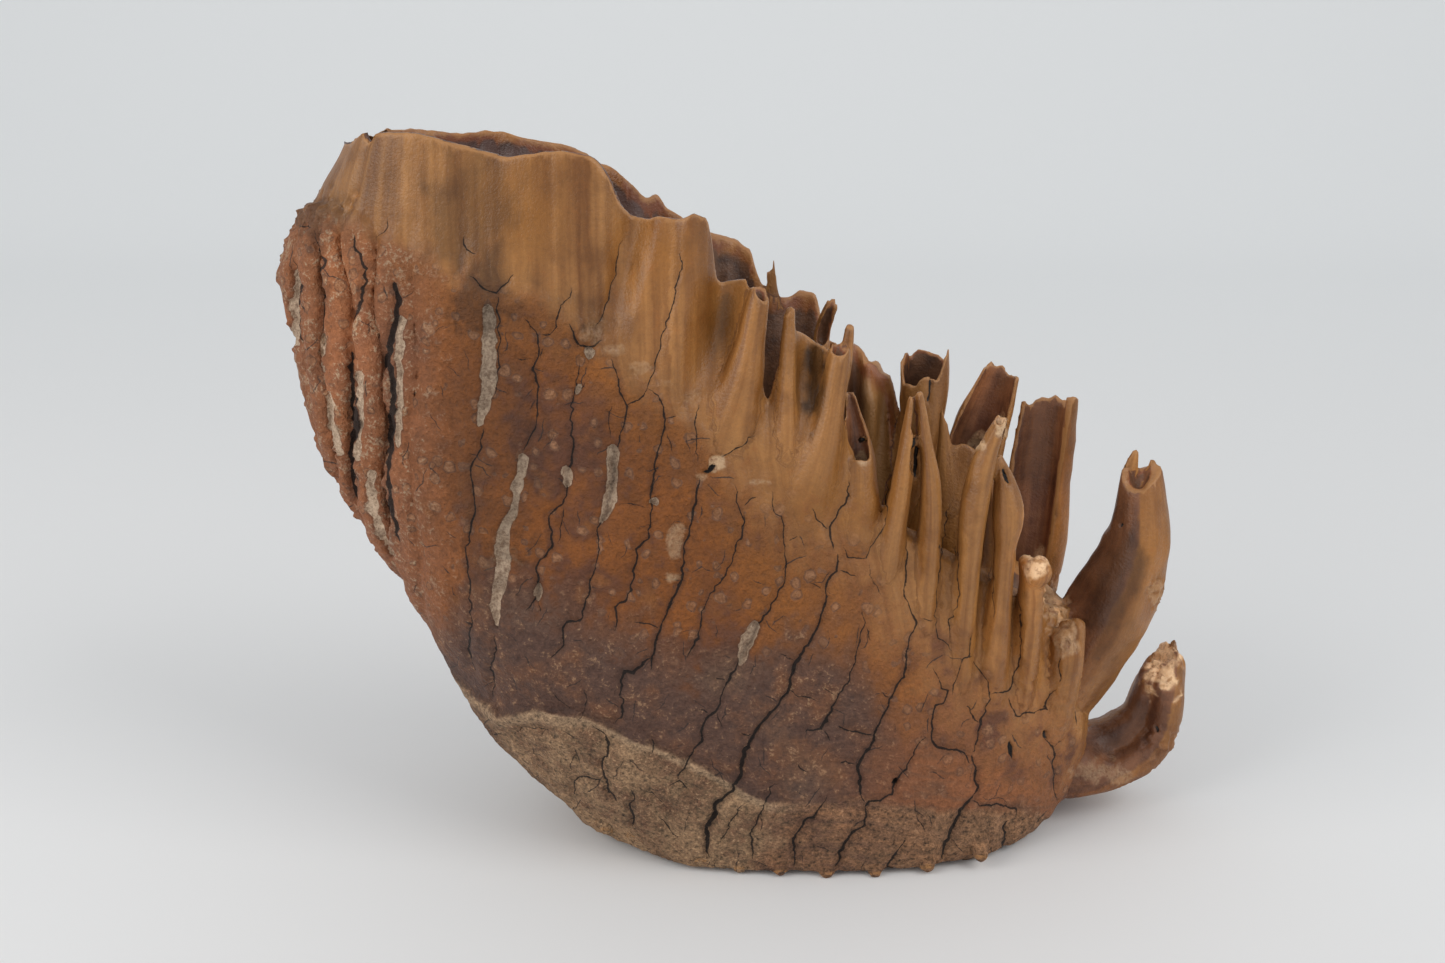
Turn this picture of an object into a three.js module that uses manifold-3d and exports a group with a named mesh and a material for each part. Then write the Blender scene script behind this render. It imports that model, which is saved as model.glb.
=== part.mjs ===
// Fossil woolly mammoth tooth, an upper or lower last molar, standing on its worn chewing surface.
// One grown piece: the plated crown below, a broad open pulp cup at the upper left, and two rows of
// finger-like roots that come down from the cup to the right.
//
// Millimetres. +X runs along the tooth to the viewer's right, +Y away from the viewer, +Z up.
// The origin is the middle of the footprint box, on the surface that the tooth stands on.

import * as THREE from 'three';
import { LoftGeometry } from 'three/addons/geometries/LoftGeometry.js';
import { mergeVertices } from 'three/addons/utils/BufferGeometryUtils.js';
import Module from 'manifold-3d';

const wasm = await Module();
wasm.setup();

// Driving dimensions

const RIDGE_HEIGHT = 1.3; // how far the enamel ridges stand proud of the chewing surface
const RIDGE_PITCH = 12.6; // one plate of the crown to the next
const RIDGE_WIDTH = 6.4;
const RIDGE_COUNT = 10;
const RIDGE_FIRST_X = -38;
const RIDGE_LIFT = 1.6; // a ridge ends where the surface has curved up by this much
const RIDGE_EDGE_GAP = 1.5; // from a ridge's end to the edge of the chewing surface
const RIDGE_BLOCK = 6; // a ridge's whole block, most of it inside the crown

const LEDGE_HEIGHT = 1.7; // the crown below the old gum line stands proud by this much
const LEDGE_LEVEL = 0.26; // the ledge runs along this level of the crown
const LEDGE_ENDS_AT = 25; // it has faded out here, along the tooth
const LEDGE_FADE = 50; // over this length
const LEDGE_STEP = 0.02; // half the height of its step, as a share of the levels
const LEDGE_FOOT = 0.12; // its swelling sets in over this share of the levels
const RIM_WALL = 2.4; // wall of the open cup at its broken rim
const VALLEY_WALL = 11; // shoulder either side of the valley between the two rows of roots
const CUP_DEPTH = 45; // cup floor below the neck line, at the left
const VALLEY_DEPTH = 8; // valley floor below the neck line, at the right
const FLOOR_WALL = 14; // thickness of the cup's side at its floor
const FLOOR_SAG = 1.5; // the floor's middle line lies this far below its edge
const NECK_TUCK = 0.84; // the cup's rim is this share of the neck's width
const CUP_TO_VALLEY = [-10, 55]; // places along X between which the cup turns into the valley
const LEAST_RISE = 2; // lowest wall above the neck
const PLEAT_RISE = 0.5; // the pleats set in over this share of the wall's height

const FOOTPRINT_SHIFT = 0.87; // brings the middle of the footprint box to the origin, along X

const JAG_HEIGHT = 0.9; // how far the broken edges of the roots go up and down
const THINNEST = 0.4; // least half width of a root
const BORE_FLARE = 1.6; // how much thicker a hollow root's wall gets down to where the hollow starts
const BORE_PAST = 8; // the hollow is cut this far past the tip

const COLUMN_DEPTH = 4.2; // the grooves between the columns of the left end
const COLUMN_GROOVE = 2.2; // half their width
const COLUMN_FOOT = [42, 80]; // heights over which they set in
const COLUMN_HEAD = [190, 170]; // heights over which they die out
const COLUMN_RUN = [175, 90]; // heights over which they run from their high places to their low ones

const HONEY_TAN = 0x9c6b3c;

// The crown in side view: five level lines from the chewing edge up to the neck. Each has seven places
// [x, z, half width], from the left end to the right end.

const LEVELS = [
  [[-57, 7, 27], [-43, 5, 28.5], [-19, 1.4, 37.5], [8, 1.3, 41], [36, 1.3, 40.5], [62, 2, 37.5], [89, 4, 36]],
  [[-84, 37, 28], [-65, 50, 38], [-36, 43, 43], [-4, 27, 45], [30, 14, 44], [64, 11, 39], [98, 12, 31]],
  [[-101.8, 73, 30], [-81, 80, 41], [-46, 74, 45], [-10, 58, 46], [28, 43, 44], [64, 34, 38], [102, 30, 31]],
  [[-124.6, 117, 31], [-93, 122, 39], [-54, 118, 43], [-16, 98, 44], [22, 79, 42], [60, 62, 37], [101, 49, 30]],
  [[-133, 168, 29], [-101, 177, 34], [-62, 170, 37], [-24, 144, 38], [14, 117, 36], [54, 92, 34], [94, 66, 27]],
];

// The middle line of the chewing surface, [x, z]: flat further to the left than its edges are.

const SOLE = [[-57, 7], [-49, 2.6], [-43, 1.3], [70, 1.3], [82, 2], [89, 4]];

// The broken rim of the cup, [x, z] from left to right, on the near side and on the far side.

const NEAR_RIM = [
  [-133, 206], [-114, 208], [-104, 210], [-90, 209], [-77, 205.5], [-66, 203], [-51, 205], [-42, 202],
  [-37, 195], [-33, 187], [-26, 188], [-20, 189.5], [-15, 187], [-12, 171], [-4, 169.5], [1, 150],
  [8, 124], [100, 60],
];
const FAR_RIM = [
  [-133, 206], [-114, 206], [-86, 203], [-74, 204], [-62, 201], [-51, 198], [-37, 189], [-27, 181.5],
  [-15, 178.5], [-5, 170.5], [0, 162], [6, 165], [14, 157], [22, 151], [29, 143], [41, 132], [50, 104],
  [100, 60],
];
const CUP_LEAN = 19; // the rim at the left end lies this far in from the neck
const CUP_LEAN_FROM = -84;
const CUP_LEAN_SPREAD = 1.4; // how fast the lean grows towards the left end
const CUP_LEAN_BEND = 1.3; // how it grows up the wall

// Pleats of the cup's near wall: [x at the neck, height of the fold, width]. Folds below nought go inwards.

const NEAR_PLEATS = [[-118, -1.6, 4], [-100, -1.8, 5], [-40, -4.2, 4], [-25, 2.2, 6], [-9, -5.5, 4.5]];
const FAR_PLEATS = [[-110, -1.6, 5], [-70, -1.8, 6], [-38, -3, 5], [-18, -3.6, 5], [4, -3.2, 4], [24, -3, 4]];

// Grooves between the columns of the left end: [x high up, x low down].

const NEAR_COLUMNS = [[-126, -127], [-118.5, -121], [-109, -114], [-101, -105], [-91, -95], [-80, -83]];
const FAR_COLUMNS = [[-127, -128], [-120, -122], [-111, -115], [-102, -104], [-92, -93], [-81, -82]];

// Roots. path holds [x, y, z] places from deep in the crown to the tip, along and across the half widths
// there. bore is the share of the length at which the hollow starts, wall its wall at the tip. lean tilts
// the broken tip, in mm of rise for each mm to the right.

const ROOTS = [
  { path: [[-18, -28, 94], [-11.5, -30.5, 122], [-5, -31.5, 144], [-1, -30, 169]],
    along: [11, 12, 7.6, 3.8], across: [8, 8.5, 7, 4], bore: 0.72, wall: 1.3, lean: -0.2 },
  { path: [[2, -29.5, 84], [6.2, -31.5, 110], [7.2, -30, 136], [7.8, -27, 163]],
    along: [6, 5.2, 3.6, 1.6], across: [7, 6, 4.6, 2], bore: 0, wall: 0, lean: 0.4 },
  { path: [[0, -30, 70], [9, -31, 101], [15, -31.5, 127], [21.5, -30, 154]],
    along: [9, 11.5, 7, 3.2], across: [8, 8, 7, 4], bore: 0.78, wall: 1.1, lean: 0.2 },
  { path: [[23, -30, 74], [26, -30.5, 102], [27.6, -29, 121], [27.4, -25, 140]],
    along: [6, 6.4, 5, 1.9], across: [8, 7.5, 6, 2.4], bore: 0, wall: 0, lean: 0 },
  { path: [[29, -31.5, 54], [33, -32, 88], [36.4, -33, 112], [41.4, -31, 140]],
    along: [5.6, 5.4, 4.2, 2], across: [8, 7.4, 5.6, 2.6], bore: 0.8, wall: 0.9, lean: 0.3 },
  { path: [[46, -31, 48], [48, -31.5, 84], [48.2, -32.5, 112], [44, -30, 140]],
    along: [6, 5.6, 4.1, 1.5], across: [8, 7.4, 5.6, 2.2], bore: 0, wall: 0, lean: 0 },
  { path: [[56, -29.5, 40], [57, -31, 76], [58, -32, 105], [64.6, -30, 134]],
    along: [5.6, 5.6, 4.8, 2.4], across: [8, 7.4, 5.6, 3], bore: 0.84, wall: 0.9, lean: 0.9 },
  { path: [[67, -27.5, 36], [68.6, -29.5, 72], [69.4, -30, 100], [66.8, -28, 121]],
    along: [5.6, 5.4, 5.1, 1.9], across: [8, 7.4, 5.8, 2], bore: 0, wall: 0, lean: 0 },
  { path: [[76, -22.5, 32], [76.8, -25.5, 62], [77, -27, 82], [77, -26, 95]],
    along: [5, 5, 4.4, 4], across: [8, 7.4, 5.8, 4], bore: 0, wall: 0, lean: -0.2 },
  { path: [[85, -14, 20], [88, -18.5, 44], [90, -21, 61], [91, -20, 72]],
    along: [5.5, 5.8, 5, 4], across: [8, 7.4, 5.8, 4], bore: 0, wall: 0, lean: 0.2 },
  { path: [[40, 19, 72], [45, 20, 98], [49, 20, 120], [50.5, 20, 138.5]],
    along: [7, 7.4, 7.8, 7.4], across: [9, 9.5, 9.5, 8.5], bore: 0.42, wall: 1.4, lean: 0 },
  { path: [[60, 21, 66], [65, 22, 90], [69, 21, 113], [75, 20, 133]],
    along: [8, 9, 9.6, 5.4], across: [9, 9, 8, 6.5], bore: 0.45, wall: 1.5, lean: -0.5 },
  { path: [[80, 19, 48], [86, 22, 74], [87.5, 23, 100], [87.6, 22, 125]],
    along: [9, 10.6, 10.6, 9], across: [8, 7, 6.4, 5.8], bore: 0.5, wall: 1.6, lean: -0.12 },
  { path: [[88, 2, 32], [104, 2, 61], [113.5, 2, 86], [113, 2, 110]],
    along: [12, 13.5, 10, 6], across: [15, 13, 10.5, 7.5], bore: 0.74, wall: 1.5, lean: -0.1 },
  { path: [[84, 4, 17], [103, 4, 14.5], [120.5, 4, 24], [126, 4, 49]],
    along: [12, 8.6, 9, 4.6], across: [19, 17, 15, 11], bore: 0, wall: 0, lean: 0.3 },
];

const STUB_SCOOP = { centre: [110.5, -6, 41], size: [13, 15, 19], turn: 0.42 }; // broken-out hollow

const SPLINTERS = [
  { path: [[9, 26, 148], [6.4, 25, 158], [5, 24, 168]], along: [2, 1.2, 0.5], across: [2.2, 1.2, 0.5] },
  { path: [[20, 22, 138], [19.4, 20, 148], [21.5, 18, 156]], along: [2.4, 1.7, 0.8], across: [2.6, 2, 0.8] },
  { path: [[21, -27, 140], [23, -26, 149], [23.6, -25, 157]], along: [3, 1.6, 0.8], across: [3, 1.6, 0.8] },
];

const END_FULLNESS = 4.4; // how square the crown's ends are in plan
const CROWN_STEPS = [0, 0.06, 0.14, 0.235, 0.285, 0.38, 0.5, 0.62, 0.75, 0.88, 1];
const END_CROWDING = 0.1; // share of a ring's length that keeps room for the columns' lines at its end
const END_READ = 0.08; // share along a ring at which its left end's height is read
const NECK_GAP = 0.03; // share of a ring between the last column's line and the first neck line
const SHOULDER = 2.7; // from the bottom of a groove between columns to the columns' shoulders

// Where the rings' places lie along the neck, right of the columns: close together over the pleats.
const NECK_LINES = [
  -70, -62, -54, -48, -44, -40, -36, -31, -25, -19, -14, -9, -4, 2, 8, 14, 21, 29, 37, 45, 53, 61, 69,
  77, 84, 89, 92.5,
];

const ROOT_SIDES = 10;
const ROOT_STEPS = 5;
const BORE_STEPS = 3;

// Small tools for numbers

function lerp(a, b, f) {
  return a + (b - a) * f;
}

// A smooth line through evenly spaced values, read at f from 0 to 1.
function smoothRead(values, f) {
  const last = values.length - 1;
  const place = Math.min(Math.max(f, 0), 1) * last;
  const i = Math.min(Math.floor(place), last - 1);
  const t = place - i;
  const p1 = values[i];
  const p2 = values[i + 1];
  const p0 = i > 0 ? values[i - 1] : 2 * p1 - p2;
  const p3 = i < last - 1 ? values[i + 2] : 2 * p2 - p1;
  const m1 = (p2 - p0) / 2;
  const m2 = (p3 - p1) / 2;
  const t2 = t * t;
  const t3 = t2 * t;
  return (2 * t3 - 3 * t2 + 1) * p1 + (t3 - 2 * t2 + t) * m1 + (3 * t2 - 2 * t3) * p2 + (t3 - t2) * m2;
}

// A straight-sided line through [x, value] places, read at x.
function lineRead(places, x) {
  if (x <= places[0][0]) {
    return places[0][1];
  }
  for (let i = 1; i < places.length; i += 1) {
    if (x <= places[i][0]) {
      const f = (x - places[i - 1][0]) / (places[i][0] - places[i - 1][0]);
      return lerp(places[i - 1][1], places[i][1], f);
    }
  }
  return places[places.length - 1][1];
}

function bump(distance, width) {
  return Math.exp(-((distance / width) ** 2));
}

function smoothStep(from, to, value) {
  const f = Math.min(Math.max((value - from) / (to - from), 0), 1);
  return f * f * (3 - 2 * f);
}

// Crown

// One number of the side-view levels (0 x, 1 z, 2 half width) at share s along and t up.
function crownValue(which, s, t) {
  const column = LEVELS.map((level) => smoothRead(level.map((place) => place[which]), s));
  return smoothRead(column, t);
}

// How full the ring is at share s along it: nought at the two ends, one over the middle.
function fullness(s) {
  return (1 - Math.abs(2 * s - 1) ** END_FULLNESS) ** (1 / 2);
}

// The share along level t at which the crown's side view reaches x.
function shareAt(x, t) {
  let low = -0.5;
  let high = 1;
  for (let i = 0; i < 30; i += 1) {
    const middle = (low + high) / 2;
    if (crownValue(0, middle, t) < x) {
      low = middle;
    } else {
      high = middle;
    }
  }
  return low;
}

// How far down a place lies between the top and the foot of the columns, from nought to one.
function columnFall(z) {
  return smoothStep(...COLUMN_RUN, z);
}

// The upright lines of one side's columns at height z: each groove, its shoulders and the crest after it.
function columnLines(side, z) {
  const columns = side > 0 ? FAR_COLUMNS : NEAR_COLUMNS;
  const grooves = columns.map(([high, low]) => lerp(high, low, columnFall(z)));
  return grooves.flatMap((x, i) => {
    const lines = [x - SHOULDER, x, x + SHOULDER];
    return i < grooves.length - 1 ? [...lines, (x + grooves[i + 1]) / 2] : lines;
  });
}

// The shares along one side of the ring at level t. The first ones follow the columns' upright lines where
// these are inside the outline, and crowd evenly at the end where they are not.
function sideShares(side, t) {
  const wanted = columnLines(side, crownValue(1, END_READ, t)).map((x) => shareAt(x, t));
  const shares = wanted.map((s, i) => Math.max(s, (END_CROWDING * (i + 1)) / wanted.length));
  const from = shares[shares.length - 1];
  const first = shareAt(NECK_LINES[0], 1) - NECK_GAP;
  for (const x of NECK_LINES) {
    shares.push(lerp(from, 1, (shareAt(x, 1) - first) / (1 - first)));
  }
  return shares;
}

// Every place round the ring at level t as { s, side }, anticlockwise seen from above: the near side to the
// right, the far side back to the left. side is -1 near, +1 far and nought at the two ends.
function ringPlaces(t) {
  return [
    { s: 0, side: 0 },
    ...sideShares(-1, t).map((s) => ({ s, side: -1 })),
    { s: 1, side: 0 },
    ...sideShares(1, t).reverse().map((s) => ({ s, side: 1 })),
  ];
}

// How far the skin stands out (or in, below nought) at a place of the crown's outside.
function crownRelief(x, z, side, t) {
  const columns = side > 0 ? FAR_COLUMNS : NEAR_COLUMNS;
  const fade = Math.abs(side) * smoothStep(...COLUMN_FOOT, z) * smoothStep(...COLUMN_HEAD, z);
  let out = 0;
  for (const [high, low] of columns) {
    out -= COLUMN_DEPTH * fade * bump(x - lerp(high, low, columnFall(z)), COLUMN_GROOVE);
  }
  const step = smoothStep(LEDGE_LEVEL + LEDGE_STEP, LEDGE_LEVEL - LEDGE_STEP, t);
  const swelling = step * smoothStep(0, LEDGE_FOOT, t);
  return out + LEDGE_HEIGHT * swelling * smoothStep(LEDGE_ENDS_AT, LEDGE_ENDS_AT - LEDGE_FADE, x);
}

// How far the cup's wall stands out at x of the neck.
function pleatRelief(x, side) {
  const pleats = side > 0 ? FAR_PLEATS : NEAR_PLEATS;
  return pleats.reduce((sum, [at, height, width]) => sum + height * bump(x - at, width), 0);
}

// Moves each place of a ring outwards, in plan, by its own amount.
function pushOut(ring, amounts) {
  const count = ring.length;
  return ring.map((place, i) => {
    const before = ring[(i + count - 1) % count];
    const after = ring[(i + 1) % count];
    const out = new THREE.Vector3(after.y - before.y, before.x - after.x, 0).normalize();
    return place.clone().addScaledVector(out, amounts[i]);
  });
}

// The ring of the crown's outside at level t.
function crownRing(t) {
  const places = ringPlaces(t);
  const ring = places.map(({ s, side }) => new THREE.Vector3(
    crownValue(0, s, t), side * crownValue(2, s, t) * fullness(s), crownValue(1, s, t)));
  return pushOut(ring, places.map(({ side }, i) => crownRelief(ring[i].x, ring[i].z, side, t)));
}

// The neck ring carried up to the rim: share f of the way up the cup's wall, or of the low shoulder.
function wallRing(places, f) {
  const raw = places.map(({ s, side }) => {
    const x = crownValue(0, s, 1);
    const neck = crownValue(1, s, 1);
    const rim = lerp(lineRead(NEAR_RIM, x), lineRead(FAR_RIM, x), (side + 1) / 2);
    const height = Math.max(rim - neck, LEAST_RISE);
    const leftness = Math.max(0, (CUP_LEAN_FROM - x) / (CUP_LEAN_FROM - LEVELS[4][0][0]));
    const lean = CUP_LEAN * leftness ** CUP_LEAN_SPREAD;
    const width = crownValue(2, s, 1) * fullness(s) * lerp(1, NECK_TUCK, f);
    return new THREE.Vector3(x + lean * f ** CUP_LEAN_BEND, side * width, neck + height * f);
  });
  return pushOut(raw, places.map(({ s, side }, i) => {
    const x = crownValue(0, s, 1);
    return crownRelief(x, raw[i].z, side, 1) + pleatRelief(x, side) * smoothStep(0, PLEAT_RISE, f);
  }));
}

// The inside of the cup: the rim ring drawn in by a wall and let down by share f of the depth.
function insideRing(places, rim, f) {
  const left = rim[0].x;
  const right = Math.max(...rim.map((place) => place.x));
  const middle = (left + right) / 2;
  return rim.map((place, i) => {
    const x = crownValue(0, places[i].s, 1);
    const toRight = smoothStep(...CUP_TO_VALLEY, x);
    const wall = lerp(lerp(RIM_WALL, VALLEY_WALL, toRight), FLOOR_WALL, f);
    const halfWidth = crownValue(2, places[i].s, 1) * NECK_TUCK;
    const floor = crownValue(1, places[i].s, 1) - lerp(CUP_DEPTH, VALLEY_DEPTH, toRight);
    return new THREE.Vector3(
      middle + (place.x - middle) * (1 - (2 * wall) / (right - left)),
      place.y * (1 - wall / halfWidth),
      lerp(place.z, floor, f));
  });
}

// A ring folded flat on to the middle line, so that both its sides run through the same places.
function foldedRing(line) {
  return [...line, ...line.slice(1, -1).reverse()];
}

// The middle line of the chewing surface.
function soleLine(count) {
  return foldedRing(Array.from({ length: count }, (_, i) => {
    const x = crownValue(0, i / (count - 1), 0);
    return new THREE.Vector3(x, 0, lineRead(SOLE, x));
  }));
}

// The middle line of the cup's floor, just inside the ends of the ring round it.
function floorLine(ring) {
  const count = ring.length / 2 + 1;
  return foldedRing(ring.slice(0, count).map((place, i) => {
    const inset = i === 0 ? 1 : (i === count - 1 ? -1 : 0);
    return new THREE.Vector3(place.x + inset, 0, place.z - FLOOR_SAG);
  }));
}

// Every ring of the crown: up the outside, over the rim and down the inside.
function crownSections() {
  const places = ringPlaces(1);
  const outside = CROWN_STEPS.map(crownRing);
  const rim = wallRing(places, 1);
  const floor = insideRing(places, rim, 1);
  return [
    soleLine(places.length / 2 + 1), ...outside, wallRing(places, 0.3), wallRing(places, 0.65), rim,
    insideRing(places, rim, 0), insideRing(places, rim, 0.5), floor, floorLine(floor),
  ];
}

// Solids

// A closed geometry as a solid that can be joined and cut.
function solidOf(geometry) {
  geometry.deleteAttribute('normal');
  geometry.deleteAttribute('uv');
  const merged = mergeVertices(geometry, 1e-4);
  const vertProperties = Float32Array.from(merged.attributes.position.array);
  const triVerts = Uint32Array.from(merged.index.array);
  return new wasm.Manifold(new wasm.Mesh({ numProp: 3, vertProperties, triVerts }));
}

function geometryOf(solid) {
  const mesh = solid.getMesh();
  const geometry = new THREE.BufferGeometry();
  geometry.setAttribute('position', new THREE.BufferAttribute(new Float32Array(mesh.vertProperties), 3));
  geometry.setIndex(new THREE.BufferAttribute(new Uint32Array(mesh.triVerts), 1));
  geometry.computeVertexNormals();
  return geometry;
}

function crownSolid() {
  return solidOf(new LoftGeometry(crownSections(), { closed: true, capStart: false, capEnd: false }));
}

// An oval section of a root at share u of its path, made smaller all round by shrink.
function rootSection(root, curve, u, shrink) {
  const centre = curve.getPoint(u);
  const ahead = curve.getTangent(u);
  const sideways = new THREE.Vector3(ahead.z, 0, -ahead.x).normalize();
  const across = new THREE.Vector3().crossVectors(ahead, sideways);
  const halfAlong = Math.max(smoothRead(root.along, u) - shrink, THINNEST);
  const halfAcross = Math.max(smoothRead(root.across, u) - shrink, THINNEST);
  const section = [];
  for (let i = 0; i < ROOT_SIDES; i += 1) {
    const angle = (2 * Math.PI * i) / ROOT_SIDES;
    section.push(centre.clone()
      .addScaledVector(sideways, halfAlong * Math.cos(angle))
      .addScaledVector(across, halfAcross * Math.sin(angle)));
  }
  return section;
}

// Tilts a root's last section and breaks its edge.
function breakTip(root, section) {
  const middle = section.reduce((sum, place) => sum + place.x, 0) / section.length;
  const jag = Math.min(JAG_HEIGHT, 0.3 * root.along[root.along.length - 1]);
  section.forEach((place, i) => {
    place.z += (place.x - middle) * root.lean + (i % 3 === 0 ? jag : -0.4 * jag);
  });
}

function rootSolid(root) {
  const curve = new THREE.CatmullRomCurve3(root.path.map((place) => new THREE.Vector3(...place)));
  const sections = [];
  for (let i = 0; i <= ROOT_STEPS; i += 1) {
    sections.push(rootSection(root, curve, i / ROOT_STEPS, 0));
  }
  breakTip(root, sections[ROOT_STEPS]);
  let solid = solidOf(new LoftGeometry(sections, { closed: true, capStart: true, capEnd: true }));
  if (root.bore > 0) {
    solid = solid.subtract(boreSolid(root, curve));
  }
  return solid;
}

// The hollow of a root, from its start inside to well past the tip.
function boreSolid(root, curve) {
  const sections = [];
  for (let i = 0; i <= BORE_STEPS; i += 1) {
    const f = i / BORE_STEPS;
    const shrink = root.wall * (1 + BORE_FLARE * (1 - f));
    sections.push(rootSection(root, curve, lerp(root.bore, 1, f), shrink));
  }
  const past = curve.getTangent(1).multiplyScalar(BORE_PAST);
  sections.push(sections[BORE_STEPS].map((place) => place.clone().add(past)));
  return solidOf(new LoftGeometry(sections, { closed: true, capStart: true, capEnd: true }));
}

function scoopSolid() {
  const scoop = new THREE.SphereGeometry(1, 14, 10);
  scoop.scale(...STUB_SCOOP.size);
  scoop.rotateY(STUB_SCOOP.turn);
  scoop.translate(...STUB_SCOOP.centre);
  return solidOf(scoop);
}

// A flat-topped enamel ridge that runs across the chewing surface at x. It ends where the surface has
// curved up from its middle line by RIDGE_LIFT.
function ridgeSolid(x) {
  const s = shareAt(x, 0);
  const middle = lineRead(SOLE, x);
  const rise = Math.max(crownValue(1, s, 0) - middle, 0.1);
  const half = (crownValue(2, s, 0) * fullness(s) - RIDGE_EDGE_GAP) * Math.min(1, RIDGE_LIFT / rise);
  const round = RIDGE_WIDTH / 2;
  const outline = new THREE.Shape();
  outline.absarc(0, half - round, round, 0, Math.PI, false);
  outline.absarc(0, round - half, round, Math.PI, 2 * Math.PI, false);
  const block = { depth: RIDGE_BLOCK, bevelEnabled: false, curveSegments: 4 };
  const ridge = new THREE.ExtrudeGeometry(outline, block);
  ridge.translate(x, 0, middle - RIDGE_HEIGHT);
  return solidOf(ridge);
}

function toothSolid() {
  const crown = crownSolid();
  const roots = ROOTS.map(rootSolid);
  const stub = roots.pop().subtract(scoopSolid());
  const splinters = SPLINTERS.map((splinter) => rootSolid({ bore: 0, wall: 0, lean: 0, ...splinter }));
  const ridges = [];
  for (let i = 0; i < RIDGE_COUNT; i += 1) {
    ridges.push(ridgeSolid(RIDGE_FIRST_X + i * RIDGE_PITCH));
  }
  const whole = [...roots, stub, ...splinters, ...ridges].reduce((sum, piece) => sum.add(piece), crown);
  return whole.translate([FOOTPRINT_SHIFT, 0, 0]);
}

function toothMesh() {
  const bone = new THREE.MeshStandardMaterial({ color: HONEY_TAN, roughness: 0.6, metalness: 0 });
  const mesh = new THREE.Mesh(geometryOf(toothSolid()), bone);
  mesh.name = 'tooth';
  return mesh;
}

const group = new THREE.Group();
group.add(toothMesh());

export default group;
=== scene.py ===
# %% [markdown]
# # A fossil mammoth tooth
# The real tooth is one grown piece: a crown of plates below, and above it a thin-walled cup that breaks up
# into two rows of hollow roots. Nothing on it is straight, and its parts melt into each other, so this
# lesson makes each part as a closed surface, lets a voxel remesh join them as if they had grown together,
# and then carves the cracks and paints the surface by where each point lies on the tooth.

# %% Load the frame
import math

import bpy
import numpy as np
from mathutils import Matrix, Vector


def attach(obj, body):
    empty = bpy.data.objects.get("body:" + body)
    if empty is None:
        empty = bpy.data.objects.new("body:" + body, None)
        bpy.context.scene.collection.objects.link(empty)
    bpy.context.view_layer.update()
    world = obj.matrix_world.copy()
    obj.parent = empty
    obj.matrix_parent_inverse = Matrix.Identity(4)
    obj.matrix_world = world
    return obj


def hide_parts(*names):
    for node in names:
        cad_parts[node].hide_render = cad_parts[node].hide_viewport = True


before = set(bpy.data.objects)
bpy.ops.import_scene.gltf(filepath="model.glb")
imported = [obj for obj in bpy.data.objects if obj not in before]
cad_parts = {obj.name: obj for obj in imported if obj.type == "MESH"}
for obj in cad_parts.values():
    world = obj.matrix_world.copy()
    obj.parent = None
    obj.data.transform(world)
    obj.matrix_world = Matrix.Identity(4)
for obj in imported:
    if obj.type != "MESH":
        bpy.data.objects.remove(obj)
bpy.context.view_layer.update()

MM = 0.001
SHIFT_X = 0.87  # the drawing's zero lies this far left of the middle of the footprint, in mm

# %% [markdown]
# ## The camera first
# The outline, the cracks and the stains are placed where a photograph shows them. A pinhole camera turns a
# point of the tooth into a pixel, and a pixel and a depth back into a point, so the camera's numbers come
# before any shape.

# %% The camera's numbers and its two directions
FRAME_SIZE = np.array([1445.0, 963.0])  # pixels
FOCAL = 1600.0  # pixels
TILT = math.radians(18.066)  # how far the camera looks down
CAMERA_PLACE = np.array([-10.0, -442.5, 251.0])  # mm in the drawing


def to_photo(points):
    """Pixels of points (n, 3) in mm: turn by the tilt, then divide by the distance along the view."""
    off = points - CAMERA_PLACE
    ahead = off[:, 1] * math.cos(TILT) - off[:, 2] * math.sin(TILT)
    up = off[:, 1] * math.sin(TILT) + off[:, 2] * math.cos(TILT)
    return FRAME_SIZE / 2 + FOCAL * np.stack([off[:, 0], -up], 1) / ahead[:, None]


def from_photo(pixels, depth):
    """Points (x, z) in mm, on the upright plane y = depth, that lie behind pixels (n, 2)."""
    pixels = np.asarray(pixels, float) - FRAME_SIZE / 2
    ahead = FOCAL * math.cos(TILT) - pixels[:, 1] * math.sin(TILT)
    up = -FOCAL * math.sin(TILT) - pixels[:, 1] * math.cos(TILT)
    reach = (depth - CAMERA_PLACE[1]) / ahead
    return np.stack([CAMERA_PLACE[0] + pixels[:, 0] * reach, CAMERA_PLACE[2] + up * reach], 1)


print("the top left tip lies at", from_photo([(348, 125)], 0).round(1))

# %% [markdown]
# ## Small tools
# A smooth line through a few values, a straight one through places, a soft step, a bell and a soft cloud of
# random values are all that the shapes below are built from. Each works on whole arrays.

# %% Lines, steps, bells and clouds


def smooth_read(values, f):
    """Cubic line through evenly spaced values, read at shares f: each piece takes its slopes from the
    neighbours on both sides. Past the ends the last piece's cubic carries on."""
    values = np.asarray(values, float)
    last = len(values) - 1
    place = np.asarray(f, float) * last
    i = np.clip(place.astype(int), 0, last - 1)
    t = (place - i).reshape((-1,) + (1,) * (values.ndim - 1))
    padded = np.concatenate([2 * values[:1] - values[1:2], values, 2 * values[-1:] - values[-2:-1]])
    before, here, after, beyond = padded[i], padded[i + 1], padded[i + 2], padded[i + 3]
    slope_here = (after - before) / 2
    slope_after = (beyond - here) / 2
    return ((2 * t**3 - 3 * t**2 + 1) * here + (t**3 - 2 * t**2 + t) * slope_here
            + (3 * t**2 - 2 * t**3) * after + (t**3 - t**2) * slope_after)


def line_read(places, x):
    """Straight-sided line through places (x, value), read at x."""
    places = np.asarray(places, float)
    return np.interp(x, places[:, 0], places[:, 1])


def mix(a, b, f):
    """a where f is nought, b where it is one."""
    return a + (b - a) * f


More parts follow.
